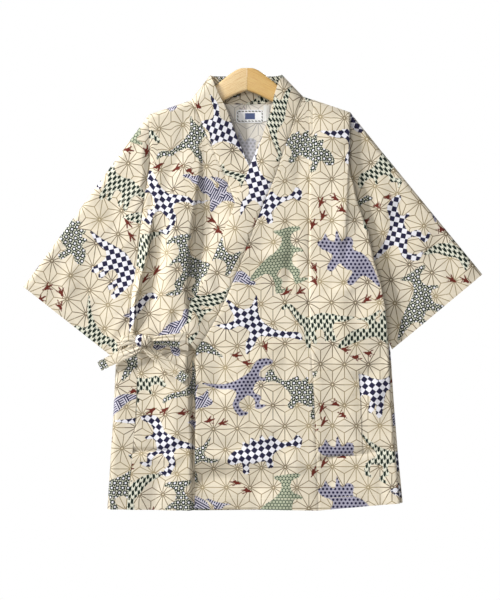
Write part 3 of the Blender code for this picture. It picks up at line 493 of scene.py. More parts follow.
def insideBy(points, outline):   # how far inside a closed outline, below 0 outside it
    run = np.roll(outline, -1, axis=0) - outline
    away = points[:, None] - outline[None]
    part = np.clip((away * run).sum(2) / (run ** 2).sum(1), 0, 1)
    gap = np.hypot(*np.moveaxis(away - part[..., None] * run, 2, 0)).min(axis=1)
    over = (outline[:, 1] > points[:, None, 1]) != ((outline + run)[:, 1] > points[:, None, 1])
    level = np.where(run[:, 1] == 0, 1e-9, run[:, 1])
    crossing = away[..., 0] < run[:, 0] * away[..., 1] / level
    return np.where((over & crossing).sum(axis=1) % 2 == 1, gap, -gap)


def nearestCopy(places, x, y):   # places seen from the nearest copy of a point of the repeat
    size = np.array([repeat["width"], repeat["height"]])
    return (places - (x, y) + size / 2) % size - size / 2


def turned(places, degrees):
    c, s = cos(radians(degrees)), sin(radians(degrees))
    return places @ np.array([[c, -s], [s, c]])


outlines = {name: rounded(points) for name, points in animals.items()}


def printedField(places):
    # for each place on the flat cloth: mm inside the nearest animal, its fill, mm inside a footprint
    flat = places.reshape(-1, 2)
    animal, fill, foot = (np.full(len(flat), value) for value in (bare, 0.0, bare))
    for shape, filling, x, y, turn, mirror, size in motifs:
        seen = turned(nearestCopy(flat, x, y), turn) / size * (mirror, 1)
        near = np.where(np.hypot(seen[:, 0], seen[:, 1]) < 78)[0]
        if len(near):
            depth = insideBy(seen[near], outlines[shape]) * size
            nearer = near[depth > animal[near]]
            animal[nearer], fill[nearer] = depth[depth > animal[near]], fills[filling]
    for x, y, heading, count in walks:
        for step in range(count):
            side = footprint["straddle"] * (1 if step % 2 else -1)
            c, s, ahead = cos(radians(heading)), sin(radians(heading)), step * footprint["stride"]
            seen = nearestCopy(flat, x - s * ahead + c * side, y + c * ahead + s * side)
            near = np.where(np.hypot(seen[:, 0], seen[:, 1]) < 22)[0]
            seen = turned(seen[near], heading)
            for ax, ay, bx, by, width in footprint["toes"]:
                run = np.array([bx - ax, by - ay])
                part = np.clip(((seen - (ax, ay)) * run).sum(1) / (run ** 2).sum(), 0, 1)
                gap = np.hypot(*(seen - (ax, ay) - part[:, None] * run).T)
                foot[near] = np.maximum(foot[near], width * (1 - 0.35 * part) - gap)
    return [values.reshape(places.shape[:2]) for values in (animal, fill, foot)]


# Materials

def linear(hexColour):           # sRGB hex to Blender's linear colour
    parts = [int(hexColour[i:i + 2], 16) / 255 for i in (1, 3, 5)]
    return tuple(c / 12.92 if c <= 0.04045 else ((c + 0.055) / 1.055) ** 2.4 for c in parts) + (1.0,)


def feed(tree, socket, value):   # a value or what a node gives, into a socket
    if isinstance(value, bpy.types.Node):
        value = next(output for output in value.outputs if output.enabled)
    if isinstance(value, bpy.types.NodeSocket):
        tree.links.new(value, socket)
    else:
        socket.default_value = value


def addNode(tree, kind, *inputs, at=None, **settings):
    # a node with its settings and links: kind is its type, with its operation or data type; inputs are
    # values or nodes for the sockets it then has, in order, and at gives others by name
    kind, *uses = kind.split()
    made = tree.nodes.new("ShaderNode" + kind)
    for use in uses:
        settings["data_type" if kind == "Mix" else "operation"] = use
    for setting, value in settings.items():
        setattr(made, setting, value)
    for socket, value in zip([socket for socket in made.inputs if socket.enabled], inputs):
        feed(tree, socket, value)
    for name, value in (at or {}).items():
        feed(tree, made.inputs[name], value)
    return made


def startMaterial(name, roughness, **sockets):
    made = bpy.data.materials.new(name)
    made.use_nodes = True
    shader = made.node_tree.nodes["Principled BSDF"]
    for socket, value in {"Roughness": roughness, **sockets}.items():
        shader.inputs[socket].default_value = value
    return made, partial(addNode, made.node_tree)


def endMaterial(made, colour, relief=None, strength=0.0, height=0.0):
    tree, shader = made.node_tree, made.node_tree.nodes["Principled BSDF"]
    feed(tree, shader.inputs["Base Color"], colour)
    if relief:
        bump = addNode(tree, "Bump", strength, height, at={"Height": relief})
        feed(tree, shader.inputs["Normal"], bump)
    return made


def placeInMm(add):
    return add("VectorMath MULTIPLY", add("TexCoord").outputs["Object"], (1000, 1000, 1000))


def nearestPoint(add, place, pitch):       # from the nearest point of a triangular net: vector, length
    half = (pitch / 2, pitch * 0.866025, 1)
    low = (-half[0], -half[1], -1)
    one = add("VectorMath WRAP", place, half, low)
    moved = add("VectorMath ADD", place, (half[0], half[1], 0))
    two = add("VectorMath WRAP", moved, half, low)
    lengths = [add("VectorMath LENGTH", each).outputs["Value"] for each in (one, two)]
    nearer = add("Math LESS_THAN", lengths[1], lengths[0])
    return add("Mix VECTOR", nearer, one, two), add("Math MINIMUM", *lengths)


ink = {key: linear(value) for key, value in {
    "ground": "#e8decb", "stain": "#e4d8c0", "lineDark": "#503d22", "linePale": "#a08e68", "dot": "#efe4cb",
    "navy": "#23213e", "white": "#eeedf4", "lilac": "#a5a2b4", "green": "#202b20", "greenPale": "#dcdcca",
    "mint": "#e2e2d0", "feather": "#1b2820", "maze": "#2b2a4a", "mazePale": "#d6d3e0", "mesh": "#37493a",
    "meshPale": "#b3b89f", "rust": "#67291f", "paleReverseAndPaintedLight": "#ffffff",
}.items()}


def printedCloth(name, paleReverseAndPaintedLight=0.0):
    # slub cotton and linen, cream and screen printed: matt, with thick places in the yarn
    made, add = startMaterial(name, 0.9, **{"Sheen Weight": 0.1, "Sheen Roughness": 0.5,
                                            "Specular IOR Level": 0.2})
    place = add("VectorMath MULTIPLY", add("UVMap", uv_map="print"), (1000, 1000, 0))   # in mm
    across, along = add("SeparateXYZ", place).outputs[:2]
    number, animal, foot, stitch = (add("Attribute", attribute_name=each).outputs["Fac"]
                                    for each in ("fill", "animal", "foot", "stitch"))

    # hemp leaf stars: twelve rays from each point of a triangular net; here and below Map Range goes from
    # 0 to 1 between its two values
    vector, reach = nearestPoint(add, place, star["pitch"])
    x, y = add("SeparateXYZ", vector).outputs[:2]
    angle = add("Math ARCTAN2", y, x)
    swing = add("Math SINE", add("Math PINGPONG", angle, pi / 12))
    ray = add("Math MULTIPLY", swing, reach)
    centre = add("VectorMath SUBTRACT", place, vector)
    tone = add("MapRange", add("TexNoise", centre, 0.023, 1.0), 0.37, 0.63)
    fade = add("Math MULTIPLY_ADD", reach, 0.011, tone)
    lineInk = add("Mix RGBA", fade, ink["lineDark"], ink["linePale"])
    stain = add("MapRange", add("TexNoise", place, 0.02, 3.0), 0.2, 0.8)
    ground = add("Mix RGBA", stain, ink["ground"], ink["stain"])
    colour = add("Mix RGBA", add("MapRange", ray, 0.9, 0.34), ground, lineInk)
    colour = add("Mix RGBA", add("MapRange", reach, 1.6, 1), colour, ink["dot"])

    # navy and white check, on the bias
    bias = add("VectorRotate", place, at={"Angle": radians(38)}, rotation_type="Z_AXIS")
    raised = add("VectorMath ADD", bias, (0, 0, 0.5))
    filling = add("TexChecker", raised, ink["navy"], ink["white"], 1 / 7.8)
    # the other fillings, each over the last where the animal has that number
    dot = add("MapRange", nearestPoint(add, place, 6.5)[1], 2.2, 1.8)
    dots = add("Mix RGBA", dot, ink["lilac"], ink["navy"])
    # white spots on a small dark and pale check
    specks = add("TexChecker", raised, ink["green"], ink["greenPale"], 1 / 2.4)
    large = nearestPoint(add, place, 8.8)[1]
    lattice = add("Mix RGBA", add("MapRange", large, 3.7, 3.3), specks, ink["green"])
    lattice = add("Mix RGBA", add("MapRange", large, 1.9, 1.5), lattice, ink["white"])
    # arrow feathers: columns of slanting dashes
    zigzag = add("Math PINGPONG", across, 2.4)
    slant = add("Math MULTIPLY_ADD", zigzag, 1.3, along)
    column = add("Math FLOOR", add("Math DIVIDE", across, 4.8))
    dash = add("Math WRAP", add("Math MULTIPLY_ADD", column, 6.6, slant), 13.2, 0.0)
    feather = add("Mix RGBA", add("MapRange", dash, 8.5, 7.9), ink["mint"], ink["feather"])
    feather = add("Mix RGBA", add("Math LESS_THAN", zigzag, 0.4), feather, ink["mint"])
    # interlocking lines on the bias
    oblique = add("VectorRotate", place, at={"Angle": radians(30)}, rotation_type="Z_AXIS")
    cell = add("VectorMath FLOOR", add("VectorMath DIVIDE", oblique, (7.2, 7.2, 1)))
    choice = add("Math GREATER_THAN", add("TexWhiteNoise", cell), 0.5)
    x, y = add("SeparateXYZ", oblique).outputs[:2]
    stripe = add("Mix FLOAT", choice, x, y)
    mazeLine = add("Math LESS_THAN", add("Math WRAP", stripe, 3.6, 0.0), 1.9)
    maze = add("Mix RGBA", mazeLine, ink["mazePale"], ink["maze"])
    hole = add("MapRange", nearestPoint(add, place, 5.4)[1], 2.0, 2.4)
    mesh = add("Mix RGBA", hole, ink["meshPale"], ink["mesh"])
    for which, pattern in enumerate((dots, lattice, feather, maze, mesh), 1):
        filling = add("Mix RGBA", add("Math GREATER_THAN", number, which - 0.5), filling, pattern)

    # animals and footprints have slightly broken edges, as the screen's mesh leaves them
    ragged = add("TexNoise", place, 0.42, 2.0, at={"Roughness": 0.7})
    animal = add("Math MULTIPLY_ADD", ragged, 5.0, animal)
    colour = add("Mix RGBA", add("MapRange", animal, 2.1, 2.7), colour, filling)
    foot = add("Math MULTIPLY_ADD", ragged, 1.6, foot)
    colour = add("Mix RGBA", add("MapRange", foot, 0.55, 1.05), colour, ink["rust"])

    # topstitching: cream thread in a shallow groove
    stitch = add("Math ABSOLUTE", stitch)
    run = add("Math WRAP", add("Math ADD", across, along), 3.6, 0.0)
    thread = add("Math MULTIPLY", add("MapRange", stitch, 0.52, 0.28), add("Math LESS_THAN", run, 2.6))
    groove = add("MapRange", stitch, 1.3, 0.3)
    colour = add("Mix RGBA", add("Math MULTIPLY", thread, 0.7), colour, ink["dot"])

    # thick places in the yarn, lengthwise and crosswise, tint the cloth and raise it
    warp, weft = (add("TexNoise", add("VectorMath MULTIPLY", place, by), 1.0, 2.0)
                  for by in ((1.1, 0.07, 1), (0.07, 1.1, 1)))
    slub = add("Math ADD", warp, weft)
    yarns = add("VectorMath SINE", add("VectorMath MULTIPLY", place, (2 * pi / 0.9, 2 * pi / 0.9, 0)))
    weave = add("Math MULTIPLY", *add("SeparateXYZ", yarns).outputs[:2])
    relief = add("Math MULTIPLY_ADD", weave, 0.12, slub)
    relief = add("Math MULTIPLY_ADD", groove, -1.4, relief)
    relief = add("Math MULTIPLY_ADD", yarns, 1.6, relief)
    tint = add("MapRange", slub, 0.6, 1.4, 0.93, 1.04)
    colour = add("Mix RGBA", 1.0, colour, tint, blend_type="MULTIPLY")
    # the wrong side: the print is mixed towards white, partly because a print is paler on its reverse and
    # partly as painted light, which lifts the inside of the neck where it lies in shade
    if paleReverseAndPaintedLight:
        colour = add("Mix RGBA", paleReverseAndPaintedLight, colour, ink["paleReverseAndPaintedLight"])
    return endMaterial(made, colour, relief, 0.35, 0.0003)


# Making a cloth piece from its points

def deselectAll():
    bpy.ops.object.select_all(action="DESELECT")


def pick(piece):
    deselectAll()
    bpy.context.view_layer.objects.active = piece
    piece.select_set(True)


def applyModifiers(piece):
    pick(piece)
    for modifier in list(piece.modifiers):
        bpy.ops.object.modifier_apply(modifier=modifier.name)


def giveWall(piece, thickness, **settings):    # half of the wall on each side of the points
    wall = piece.modifiers.new("Wall", "SOLIDIFY")
    wall.thickness, wall.offset = thickness * mm, 0
    for setting, value in settings.items():
        setattr(wall, setting, value)
    applyModifiers(piece)


def editWhole(piece, *steps):      # each step is done with the whole mesh selected
    pick(piece)
    bpy.ops.object.mode_set(mode="EDIT")
    for step in steps:
        bpy.ops.mesh.select_all(action="SELECT")
        step()
    bpy.ops.object.mode_set(mode="OBJECT")


def gridPiece(name, sizes, **more):
    deselectAll()
    bpy.ops.mesh.primitive_grid_add(x_subdivisions=sizes["columns"], y_subdivisions=sizes["rows"], size=1,
                                    **more)
    piece = bpy.context.active_object
    piece.name = name
    return piece


def linkedPiece(name, mesh):
    piece = bpy.data.objects.new(name, mesh)
    bpy.context.scene.collection.objects.link(piece)
    mesh.materials.append(materials["right"])
    return piece


def standFor(piece, node):
    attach(piece, "root")
    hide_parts(node)


def sheetMesh(name, points, flat, look, ring=False, fold=None, printed=printedField, stitch=9.0):
    # faces through rows of points; look gives where to test the side that faces out, and -1 or 1 for y;
    # stitch is each point's distance from the stitching, and fold the column where a ring turns back
    rows, columns = points.shape[:2]
    valid = ~np.isnan(points[..., 0])
    number = np.full(valid.shape, -1)
    number[valid] = np.arange(valid.sum())
    i, j = np.meshgrid(np.arange(rows - 1), np.arange(columns if ring else columns - 1), indexing="ij")
    i, j = i.ravel(), j.ravel()
    k = (j + 1) % columns
    corners = [(i, j), (i, k), (i + 1, k), (i + 1, j)]
    flatCorners = [flat[r, c if fold is None else np.where(j == fold, j, c)] for r, c in corners]
    whole = np.all([valid[r, c] for r, c in corners], axis=0)
    faces = np.stack([number[r, c] for r, c in corners], axis=1)[whole]
    places = np.stack(flatCorners, axis=1)[whole]
    row, column = int(look[0] * (rows - 2)), int(look[1] * (columns - 2))
    a, b, d = points[row, column], points[row, column + 1], points[row + 1, column]
    if np.cross(b - a, d - a)[1] * look[2] < 0:
        faces, places = faces[:, ::-1], places[:, ::-1]
    mesh = bpy.data.meshes.new(name)
    mesh.from_pydata((points[valid] * mm).tolist(), [], faces.tolist())
    layer = mesh.uv_layers.new(name="print")
    layer.data.foreach_set("uv", (places.reshape(-1, 2) * mm).astype(np.float32).ravel())
    stitches = np.broadcast_to(stitch, flat.shape[:2])
    for label, values in zip(("animal", "fill", "foot", "stitch"), (*printed(flat), stitches)):
        attribute = mesh.attributes.new(label, "FLOAT", "POINT")
        attribute.data.foreach_set("value", values[valid].astype(np.float32))
    return mesh


def clothPiece(name, node, points, flat, look=(0.5, 0.5, -1), rests="hanger_right", wall=cloth["wall"],
               inside="wrong", **more):
    # a shell on both sides of the points, which takes the place of its node; flat is its flat cloth
    mesh = sheetMesh(name, points, flat, look, **more)
    piece = linkedPiece(name, mesh)
    mesh.materials.append(materials[inside])
    giveWall(piece, wall, use_even_offset=True, thickness_clamp=1.5, material_offset=1)
    mesh.shade_smooth()
    mesh.set_sharp_from_angle(angle=radians(60))
    standFor(piece, node)


materials = {
    "right": printedCloth("printedSlubCotton"),
    # the wrong side is paler, partly as the reverse of a print is and partly as painted light
    "wrong": printedCloth("printedSlubCottonReverseAndPaintedLight", 0.42),
}
print("materials made")

# Body panels

half = cloth["seam"] / 2
# where the flat cloth of each part lies in the print
printStarts = {"back": (20, 15),
               "right": (star["pitch"] * 3 + 159.2, star["row"] * 8 + 581.9),
               "left": (star["pitch"] * 6 + 53.8, star["row"] * 2 + 504.8),
               "pocket": (star["pitch"] * 6 + 53.8, star["row"] * 12 + 504.8)}


def seamAt(table, shift):
    return lambda z: atHeight(table, z) + shift


def rightLapEdge(z):
    return np.where(z >= -440, bandEdge(rightBand, 2, z) - 0.6, 80.4 + 5 * rise(-440 - z, 0, 80))


def leftLapEdge(z):
    return np.where(z >= -450, bandEdge(leftBand, 2, z) + 0.6, -81.4 - 2 * rise(-450 - z, 0, 250))


def panel(name, node, leftEdge, rightEdge, rows, side, reference, rests, **more):
    points = panelPoints(leftEdge, rightEdge, rows, {"right": rightDepth, "left": leftDepth}[side], **more)
    flat = printPlaces(points, reference, printStarts[side])
    clothPiece(name, node, points, flat, rests=rests, stitch=hemStitch(flat))


panel("frontRight", "front_right", seamAt(rightSide, half), seamAt(rightInnerSeam, -half), rightFrontRows,
      "right", -1, "hanger_right")
panel("okumiRight", "okumi_right", seamAt(rightInnerSeam, half), rightLapEdge, rightLapRows, "right", 0,
      "front_right", fine=(0, 1))
panel("frontLeft", "front_left", seamAt(leftInnerSeam, half), seamAt(leftSide, -half), leftFrontRows,
      "left", 0, "hanger_left")
panel("okumiLeft", "okumi_left", leftLapEdge, seamAt(leftInnerSeam, -half), leftLapRows, "left", -1,
      "front_left")
print("fronts made")

# The back, which goes round each side to the seam with the front

backSizes = {
    "turn": 8.0,                 # how far in from the side's fold the cloth is round
    "turnPoints": 21,            # points round each side
    "arcSteps": 12,              # steps of the half circle behind them
    "width": 400.0,              # about its width between the sides
    "top": (-75.0, -71.0),       # heights at its right and left
    "hem": (-705.0, -695.0),
}


def sideSection(z, side, sign):
    # points round one side at one height, from the front's seam to the back cloth
    seam, turnIn = atHeight(side, z) + sign * cloth["seam"], backSizes["turn"]
    fold = max(sign * atHeight(side, z, 2), sign * seam + 1.5) * sign
    front = cloth["frontDepth"] if sign < 0 else float(sideEdge(z))
    back = float(backDepth(np.array(fold - sign * turnIn), np.array(float(z))))
    turn, top = np.linspace(0, pi, backSizes["arcSteps"] + 1), backSizes["arcSteps"] // 2
    middle, reach = (back - front) / 2, (back + front) / 2
    # the half before the fold reaches in to the seam only
    turnIn = np.where(np.arange(len(turn)) > top, turnIn, min(turnIn, abs(fold - seam) + 1))
    arc = np.stack([fold - sign * turnIn * (1 - np.sin(turn)), middle - reach * np.cos(turn)], axis=1)
    keep = sign * (arc[:, 0] - seam) > 0.5
    keep[top:] = True
    section = np.concatenate([[(seam, -front)], arc[keep]])
    run = runOf(section)
    spots = np.linspace(0, run[-1], backSizes["turnPoints"] + 1)[:-1]
    x, y = (np.interp(spots, run, section[:, k]) for k in (0, 1))
    return np.stack([x, y, np.full(len(spots), float(z))], axis=1)


def backSide(z, side, sign, underarm):
    # the points round one side, none above the underarm, and where the flat of the back begins
    if z >= underarm:
        return np.full((backSizes["turnPoints"], 3), np.nan), atHeight(side, z) - sign * half
    fold = max(sign * atHeight(side, z, 2), sign * atHeight(side, z) + 1.8) * sign
    return sideSection(z, side, sign), fold - sign * backSizes["turn"]


def backPoints():
    (topRight, topLeft), (hemRight, hemLeft) = backSizes["top"], backSizes["hem"]
    across = places(backSizes["width"], cloth["backGrain"], fineSeam, fineSeam) / backSizes["width"]
    grid = []
    for down in places(topRight - hemRight, cloth["backGrain"], fineShoulder, fineHem):
        rightZ = topRight - down
        leftZ = topLeft - down * (topLeft - hemLeft) / (topRight - hemRight)
        right, first = backSide(rightZ, rightSide, -1, rightUnderarm)
        left, last = backSide(leftZ, leftSide, 1, leftUnderarm)
        x = first + (last - first) * across
        part = (x - first) / (last - first)
        sideZ = rightZ + (leftZ - rightZ) * part
        top, hem = topRight + (topLeft - topRight) * part, hemRight + (hemLeft - hemRight) * part
        z = topLine(x) + (hem - topLine(x)) * (sideZ - top) / (hem - top) - half
        grid.append(np.concatenate([right, np.stack([x, backDepth(x, z), z], axis=1), left[::-1]]))
    return np.stack(grid)


points = backPoints()
centre = points.shape[1] // 2
filled = np.where(np.isnan(points), points[:, centre:centre + 1], points)
flat = printPlaces(filled, centre, printStarts["back"])
clothPiece("backPanel", "back", points, flat, look=(0.5, 0.5, 1), stitch=hemStitch(flat))
print("back made")

# Sleeves: flat tubes, their rings running from the armhole to the cuff

sleeve = {
    "fine": (0, 0.3, 0.8, 1.6, 2.8, 4.4, 6.6, 9.2),    # points beside a folded edge
    "fineArmhole": (0, 0.6, 1.6),
    "edgeRound": 0.04,       # the folded edge's round, as part of the height
    "settle": 9,             # from here on outwards the sleeve takes its own depth
    "uneven": 1.3,
    "backFolds": -0.7,       # the folds' height on the back
    "bulge": (11, 42),       # place and outer width of the swelling at the shoulder
}
noBulge = [(-100, 0), (-200, 0)]


def sleevePoints(corners, side, top, underarm, gap, ahead, folds, start, reach, bulge):
    # gap lies between the armhole and the body, and at the reach the sleeve has its own depth
    tip, cuffTop, low, cuffLow = (np.array(corners[key], float)
                                  for key in ("tip", "cuffTop", "underarm", "cuffBottom"))
    length, tall = np.hypot(*(cuffTop - tip)), top - underarm
    parts = places(length, cloth["backGrain"], sleeve["fineArmhole"], fineHem) / length
    v = places(tall, cloth["backGrain"], sleeve["fine"], sleeve["fine"]) / tall
    seamZ = top - v * tall
    seamX = atHeight(side, seamZ)
    aheadNow, behindNow = -ahead(seamX, seamZ), backDepth(seamX, seamZ)
    down = (cuffLow - cuffTop) / np.hypot(*(cuffLow - cuffTop))
    toShoulder = np.array([-down[1], down[0]])
    if toShoulder[1] < 0:
        toShoulder = -toShoulder
    rings, prints, inner, (bulgeIn, bulgeOut) = [], [], cloth["edgeHalf"], sleeve["bulge"]
    for part in parts:
        upper, lower = tip + (cuffTop - tip) * part, low + (cuffLow - low) * part
        straight = tip[0] + (low[0] - tip[0]) * v
        near = (1 - part) ** 6
        x = upper[0] + (lower[0] - upper[0]) * v + (seamX + gap - straight) * near
        z = upper[1] + (lower[1] - upper[1]) * v + (seamZ - tip[1] - (low[1] - tip[1]) * v) * near
        edge = roundOver(np.minimum(v, 1 - v), sleeve["edgeRound"])
        level = rise(np.abs(x - seamX), sleeve["settle"], reach)
        frontOut, backOut = (now + (cloth["sleeveDepth"] - now) * level for now in (aheadNow, behindNow))
        free, fold = rise(part, 0, 0.1), foldHeight(x, z, folds)
        frontOut = frontOut + (fold + unevenness(x, z, sleeve["uneven"])) * free
        frontOut = frontOut + atHeight(bulge, seamZ) * hump(x - seamX + bulgeIn, bulgeOut, bulgeIn)
        backOut = backOut + (fold * sleeve["backFolds"] + unevenness(z, x, sleeve["uneven"])) * free
        frontY, backY = (inner + (out - inner) * edge for out in (frontOut, backOut))
        rings.append(np.concatenate([np.stack([x, -frontY, z], axis=1),
                                     np.stack([x, backY, z], axis=1)[::-1]]))
        across = x * down[0] + z * down[1]
        along = x * toShoulder[0] + z * toShoulder[1]
        prints.append(np.concatenate([np.stack([across, along], axis=1),
                                      np.stack([2 * across[0] - across, along], axis=1)[::-1]]) + start)
    stitch = ((1 - parts) * length - cloth["cuffStitch"])[:, None] * np.ones(2 * len(v))
    return np.stack(rings), np.stack(prints), len(v) - 1, stitch


rightSleeveFolds = [
    ([(-190, -440, 0), (-205, -390, -1.5), (-210, -320, -1.5), (-196, -240, 0)], 14),
    ([(-215, -452, 0), (-238, -400, -2), (-262, -330, 0)], 12),
    ([(-214, -160, 0), (-240, -220, 1.6), (-270, -300, 0)], 15),
    ([(-286, -300, 0), (-300, -340, -1.6), (-310, -372, -1)], 11),
]
leftSleeveFolds = [
    ([(232, -150, 0), (262, -216, 1.6), (290, -290, 0)], 15),
    ([(236, -420, 0), (258, -380, -1.8), (276, -320, 0)], 11),
    ([(300, -300, 0), (316, -340, 1.6), (330, -372, 1)], 12),
    ([(212, -210, 0), (232, -270, -1.4), (248, -350, 0)], 12),
]
for name, node, rests, *about in (
        ("sleeveRight", "sleeve_right", "hanger_right", rightSleeve, rightSide, -75, rightUnderarm, -0.15,
         rightDepth, rightSleeveFolds, (16, 40), 90, sleeveBulge),
        ("sleeveLeft", "sleeve_left", "hanger_left", leftSleeve, leftSide, -71, leftUnderarm, 0.15,
         leftDepth, leftSleeveFolds, (150, 210), 56, noBulge)):
    points, flat, fold, stitch = sleevePoints(*about)
    clothPiece(name, node, points, flat, look=(0.5, 0.25, -1), rests=rests, ring=True, fold=fold,
               stitch=stitch)
print("sleeves made")

# Collar: one long double band

band = {"puff": 1.2, "sink": 0.5, "grain": 2.8, "across": 20, "ease": 3, "start": (14, 150),
        "stitch": 1.8}


def collarPoints():
    rows = np.array(collarRows, float)
    middle, depth = (rows[:, 0:2] + rows[:, 2:4]) / 2, rows[:, 4] * cloth["backDepth"]
    run = runOf(np.concatenate([middle, depth[:, None]], axis=1))
    spots = np.linspace(0, run[-1], round(run[-1] / band["grain"]) + 1)
    fine = np.stack([np.interp(spots, run, rows[:, column]) for column in range(5)], axis=1)
    for _ in range(band["ease"]):
        fine[1:-1] = (fine[:-2] + 2 * fine[1:-1] + fine[2:]) / 4
    leftEnd, rightStart = run[leftBand[-1]], run[rightBand[0]]
    part = np.linspace(0, 1, band["across"])
    part = part - 0.12 * np.sin(2 * pi * part) / (2 * pi)
    seamZ = fine[:, 3] + np.where(fine[:, 4] >= 0, cloth["seam"], 0)
    x = fine[:, 0:1] + (fine[:, 2:3] - fine[:, 0:1]) * part
    z = fine[:, 1:2] + (seamZ[:, None] - fine[:, 1:2]) * part
    onFront = np.minimum(z, topLine(x) - cloth["shoulderRound"])
    isLeft = (spots < (leftEnd + rightStart) / 2)[:, None]
    face = np.where(isLeft, leftDepth(x, onFront), rightDepth(x, onFront))
    side = fine[:, 4:5]
    frontPart = rise(-side, 0.72, 0.98)
    y = side * cloth["backDepth"] * (1 - frontPart) + face * frontPart
    crown = np.sin(pi * part) ** 0.6 * band["puff"] - band["sink"] * (part > 0.97)
    y = y + crown * np.sign(side) * rise(np.abs(side), 0.1, 0.7)
    wide = np.hypot(fine[:, 2] - fine[:, 0], seamZ - fine[:, 1])[:, None] * part
    flat = np.stack([np.broadcast_to(spots[:, None], wide.shape), wide], axis=2)
    return np.stack([x, y, z], axis=2), flat


points, flat = collarPoints()
clothPiece("collarBand", "collar", points, flat + band["start"], look=(0.2, 0.5, -1),
           wall=cloth["bandWall"], inside="right", stitch=flat[:, -1:, 1] - flat[..., 1] - band["stitch"])
print("collar made")

# Patch pocket on the wearer's left front, its points those of the front moved out

pocket = {"width": 73.0, "top": -484.5, "bottom": -621.5, "slope": 3.5, "out": 1.4, "puff": 1.0,
          "mouthPuff": 0.6, "hem": 17.0, "hemDip": 0.5, "hemWidth": 1.4, "stitch": 2.0}


def pocketPoints():
    across = places(pocket["width"], cloth["grain"], fineSeam, fineSeam)
    down = places(pocket["top"] - pocket["bottom"], cloth["grain"], fineSeam, fineSeam)
    z = pocket["top"] - down[:, None] + 0 * across
    x = atHeight(leftInnerSeam, z) + half + across
    edge = np.minimum(np.minimum(across, pocket["width"] - across), (z - pocket["bottom"]))
    puff = pocket["puff"] * rise(edge, 0, 14)
    puff = puff + pocket["mouthPuff"] * rise(pocket["top"] - z, 10, 0) * rise(edge, 0, 20)
    z = z + (across / pocket["width"]) * pocket["slope"]
    dip = pocket["hemDip"] * np.exp(-((down[:, None] - pocket["hem"]) / pocket["hemWidth"]) ** 2)
    y = leftDepth(x, z) - pocket["out"] - puff + dip
    return np.stack([x, y, z], axis=2)


points = pocketPoints()
flat = printPlaces(points, 0, printStarts["pocket"])
toEdge = np.minimum(np.minimum(flat[..., 0] - flat[:, :1, 0], flat[:, -1:, 0] - flat[..., 0]),
                    flat[..., 1] - flat[-1:, :, 1]) - pocket["stitch"]
toHem = flat[:1, :, 1] - flat[..., 1] - pocket["hem"]
clothPiece("pocketPatch", "pocket", points, flat, rests="front_left",
           stitch=np.where(abs(toEdge) < abs(toHem), toEdge, toHem))

# Labels inside the neck


def wovenLabel():
    # woven polyester label: white satin with a dashed border and a plain navy block
    made, add = startMaterial("wovenLabel", 0.55, **{"Sheen Weight": 0.15})
    place = placeInMm(add)
    low, high = (np.array(corner) * 1000 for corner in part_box("label"))
    centre, size = (low + high) / 2, high - low
    x, _, z = add("SeparateXYZ", add("VectorMath SUBTRACT", place, tuple(centre))).outputs
    toEdges, inside = [], []
    for value, half, block in ((x, size[0] / 2, 8.0), (z, size[2] / 2, 5.0)):
        away = add("Math ABSOLUTE", value)
        toEdges.append(add("Math SUBTRACT", half, away))
        inside.append(add("Math LESS_THAN", away, block))
    edge = add("Math MINIMUM", *toEdges)
    border = add("Math ABSOLUTE", add("Math SUBTRACT", edge, 2.6))
    line = add("Math LESS_THAN", border, 0.85)
    run = add("Math WRAP", add("Math ADD", x, z), 5.4, 0.0)
    line = add("Math MULTIPLY", line, add("Math LESS_THAN", run, 3.6))
    colour = add("Mix RGBA", line, linear("#ffffff"), linear("#3c3d2c"))
    colour = add("Mix RGBA", add("Math MULTIPLY", *inside), colour, linear("#4a5a86"))
    rib = add("TexWave", place, 2.2, 0.0, bands_direction="Z")
    # the rib's grooves are painted a little darker: painted shade on the weave
    tint = add("MapRange", rib, 0.0, 1.0, 0.95, 1.0)
    return endMaterial(made, add("Mix RGBA", 1.0, colour, tint, blend_type="MULTIPLY"), rib, 0.3, 0.0002)


def satinTape():
    # printed care tape: thin white satin, a little shiny, ribbed by its weave
    made, add = startMaterial("satinTape", 0.4, **{"Sheen Weight": 0.2})
    rib = add("TexWave", placeInMm(add), 1.8, 0.4, bands_direction="Z")
    # the colour follows the rib, a little darker in its grooves: painted shade
    return endMaterial(made, add("Mix RGBA", rib, linear("#e9e9e4"), linear("#f4f4f0")), rib, 0.25, 0.0002)


labels = {"columns": 18, "rows": 14, "offBack": 0.6, "leastWidth": 10.0}     # woven at least 10 mm wide


def labelPiece(name, node, material, bow, thickness, corner):
    # a grid primitive on the solid's place, laid on the back, with its corners rounded and its wall
    low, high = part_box(node)
    size, centre, corner = high - low, (low + high) / 2, corner * mm
    piece = gridPiece(name, labels, location=centre, rotation=(radians(90), 0, 0))
    piece.scale = (size.x, size.z, 1)
    bpy.ops.object.transform_apply(location=True, rotation=True, scale=True)
    for vert in piece.data.vertices:
        x, z = vert.co.x - centre.x, vert.co.z - centre.z
        over = max(0, abs(z) - size.z / 2 + corner) / corner
        x *= 1 - 2 * corner / size.x * (1 - (1 - min(over, 1) ** 2) ** 0.5)
        y = float(backDepth(np.array((x + centre.x) / mm), np.array(vert.co.z / mm)))
        y = y - thickness - labels["offBack"] + bow * cos(x / size.x * 2 * pi)
        vert.co = (x + centre.x, y * mm, vert.co.z)
    piece.data.materials.append(material)
    giveWall(piece, thickness)
    standFor(piece, node)


labelPiece("neckLabel", "label", wovenLabel(), -0.3, 0.7, 4.0)
labelPiece("careTape", "care_strip", satinTape(), -0.2, 0.6, 0.6)

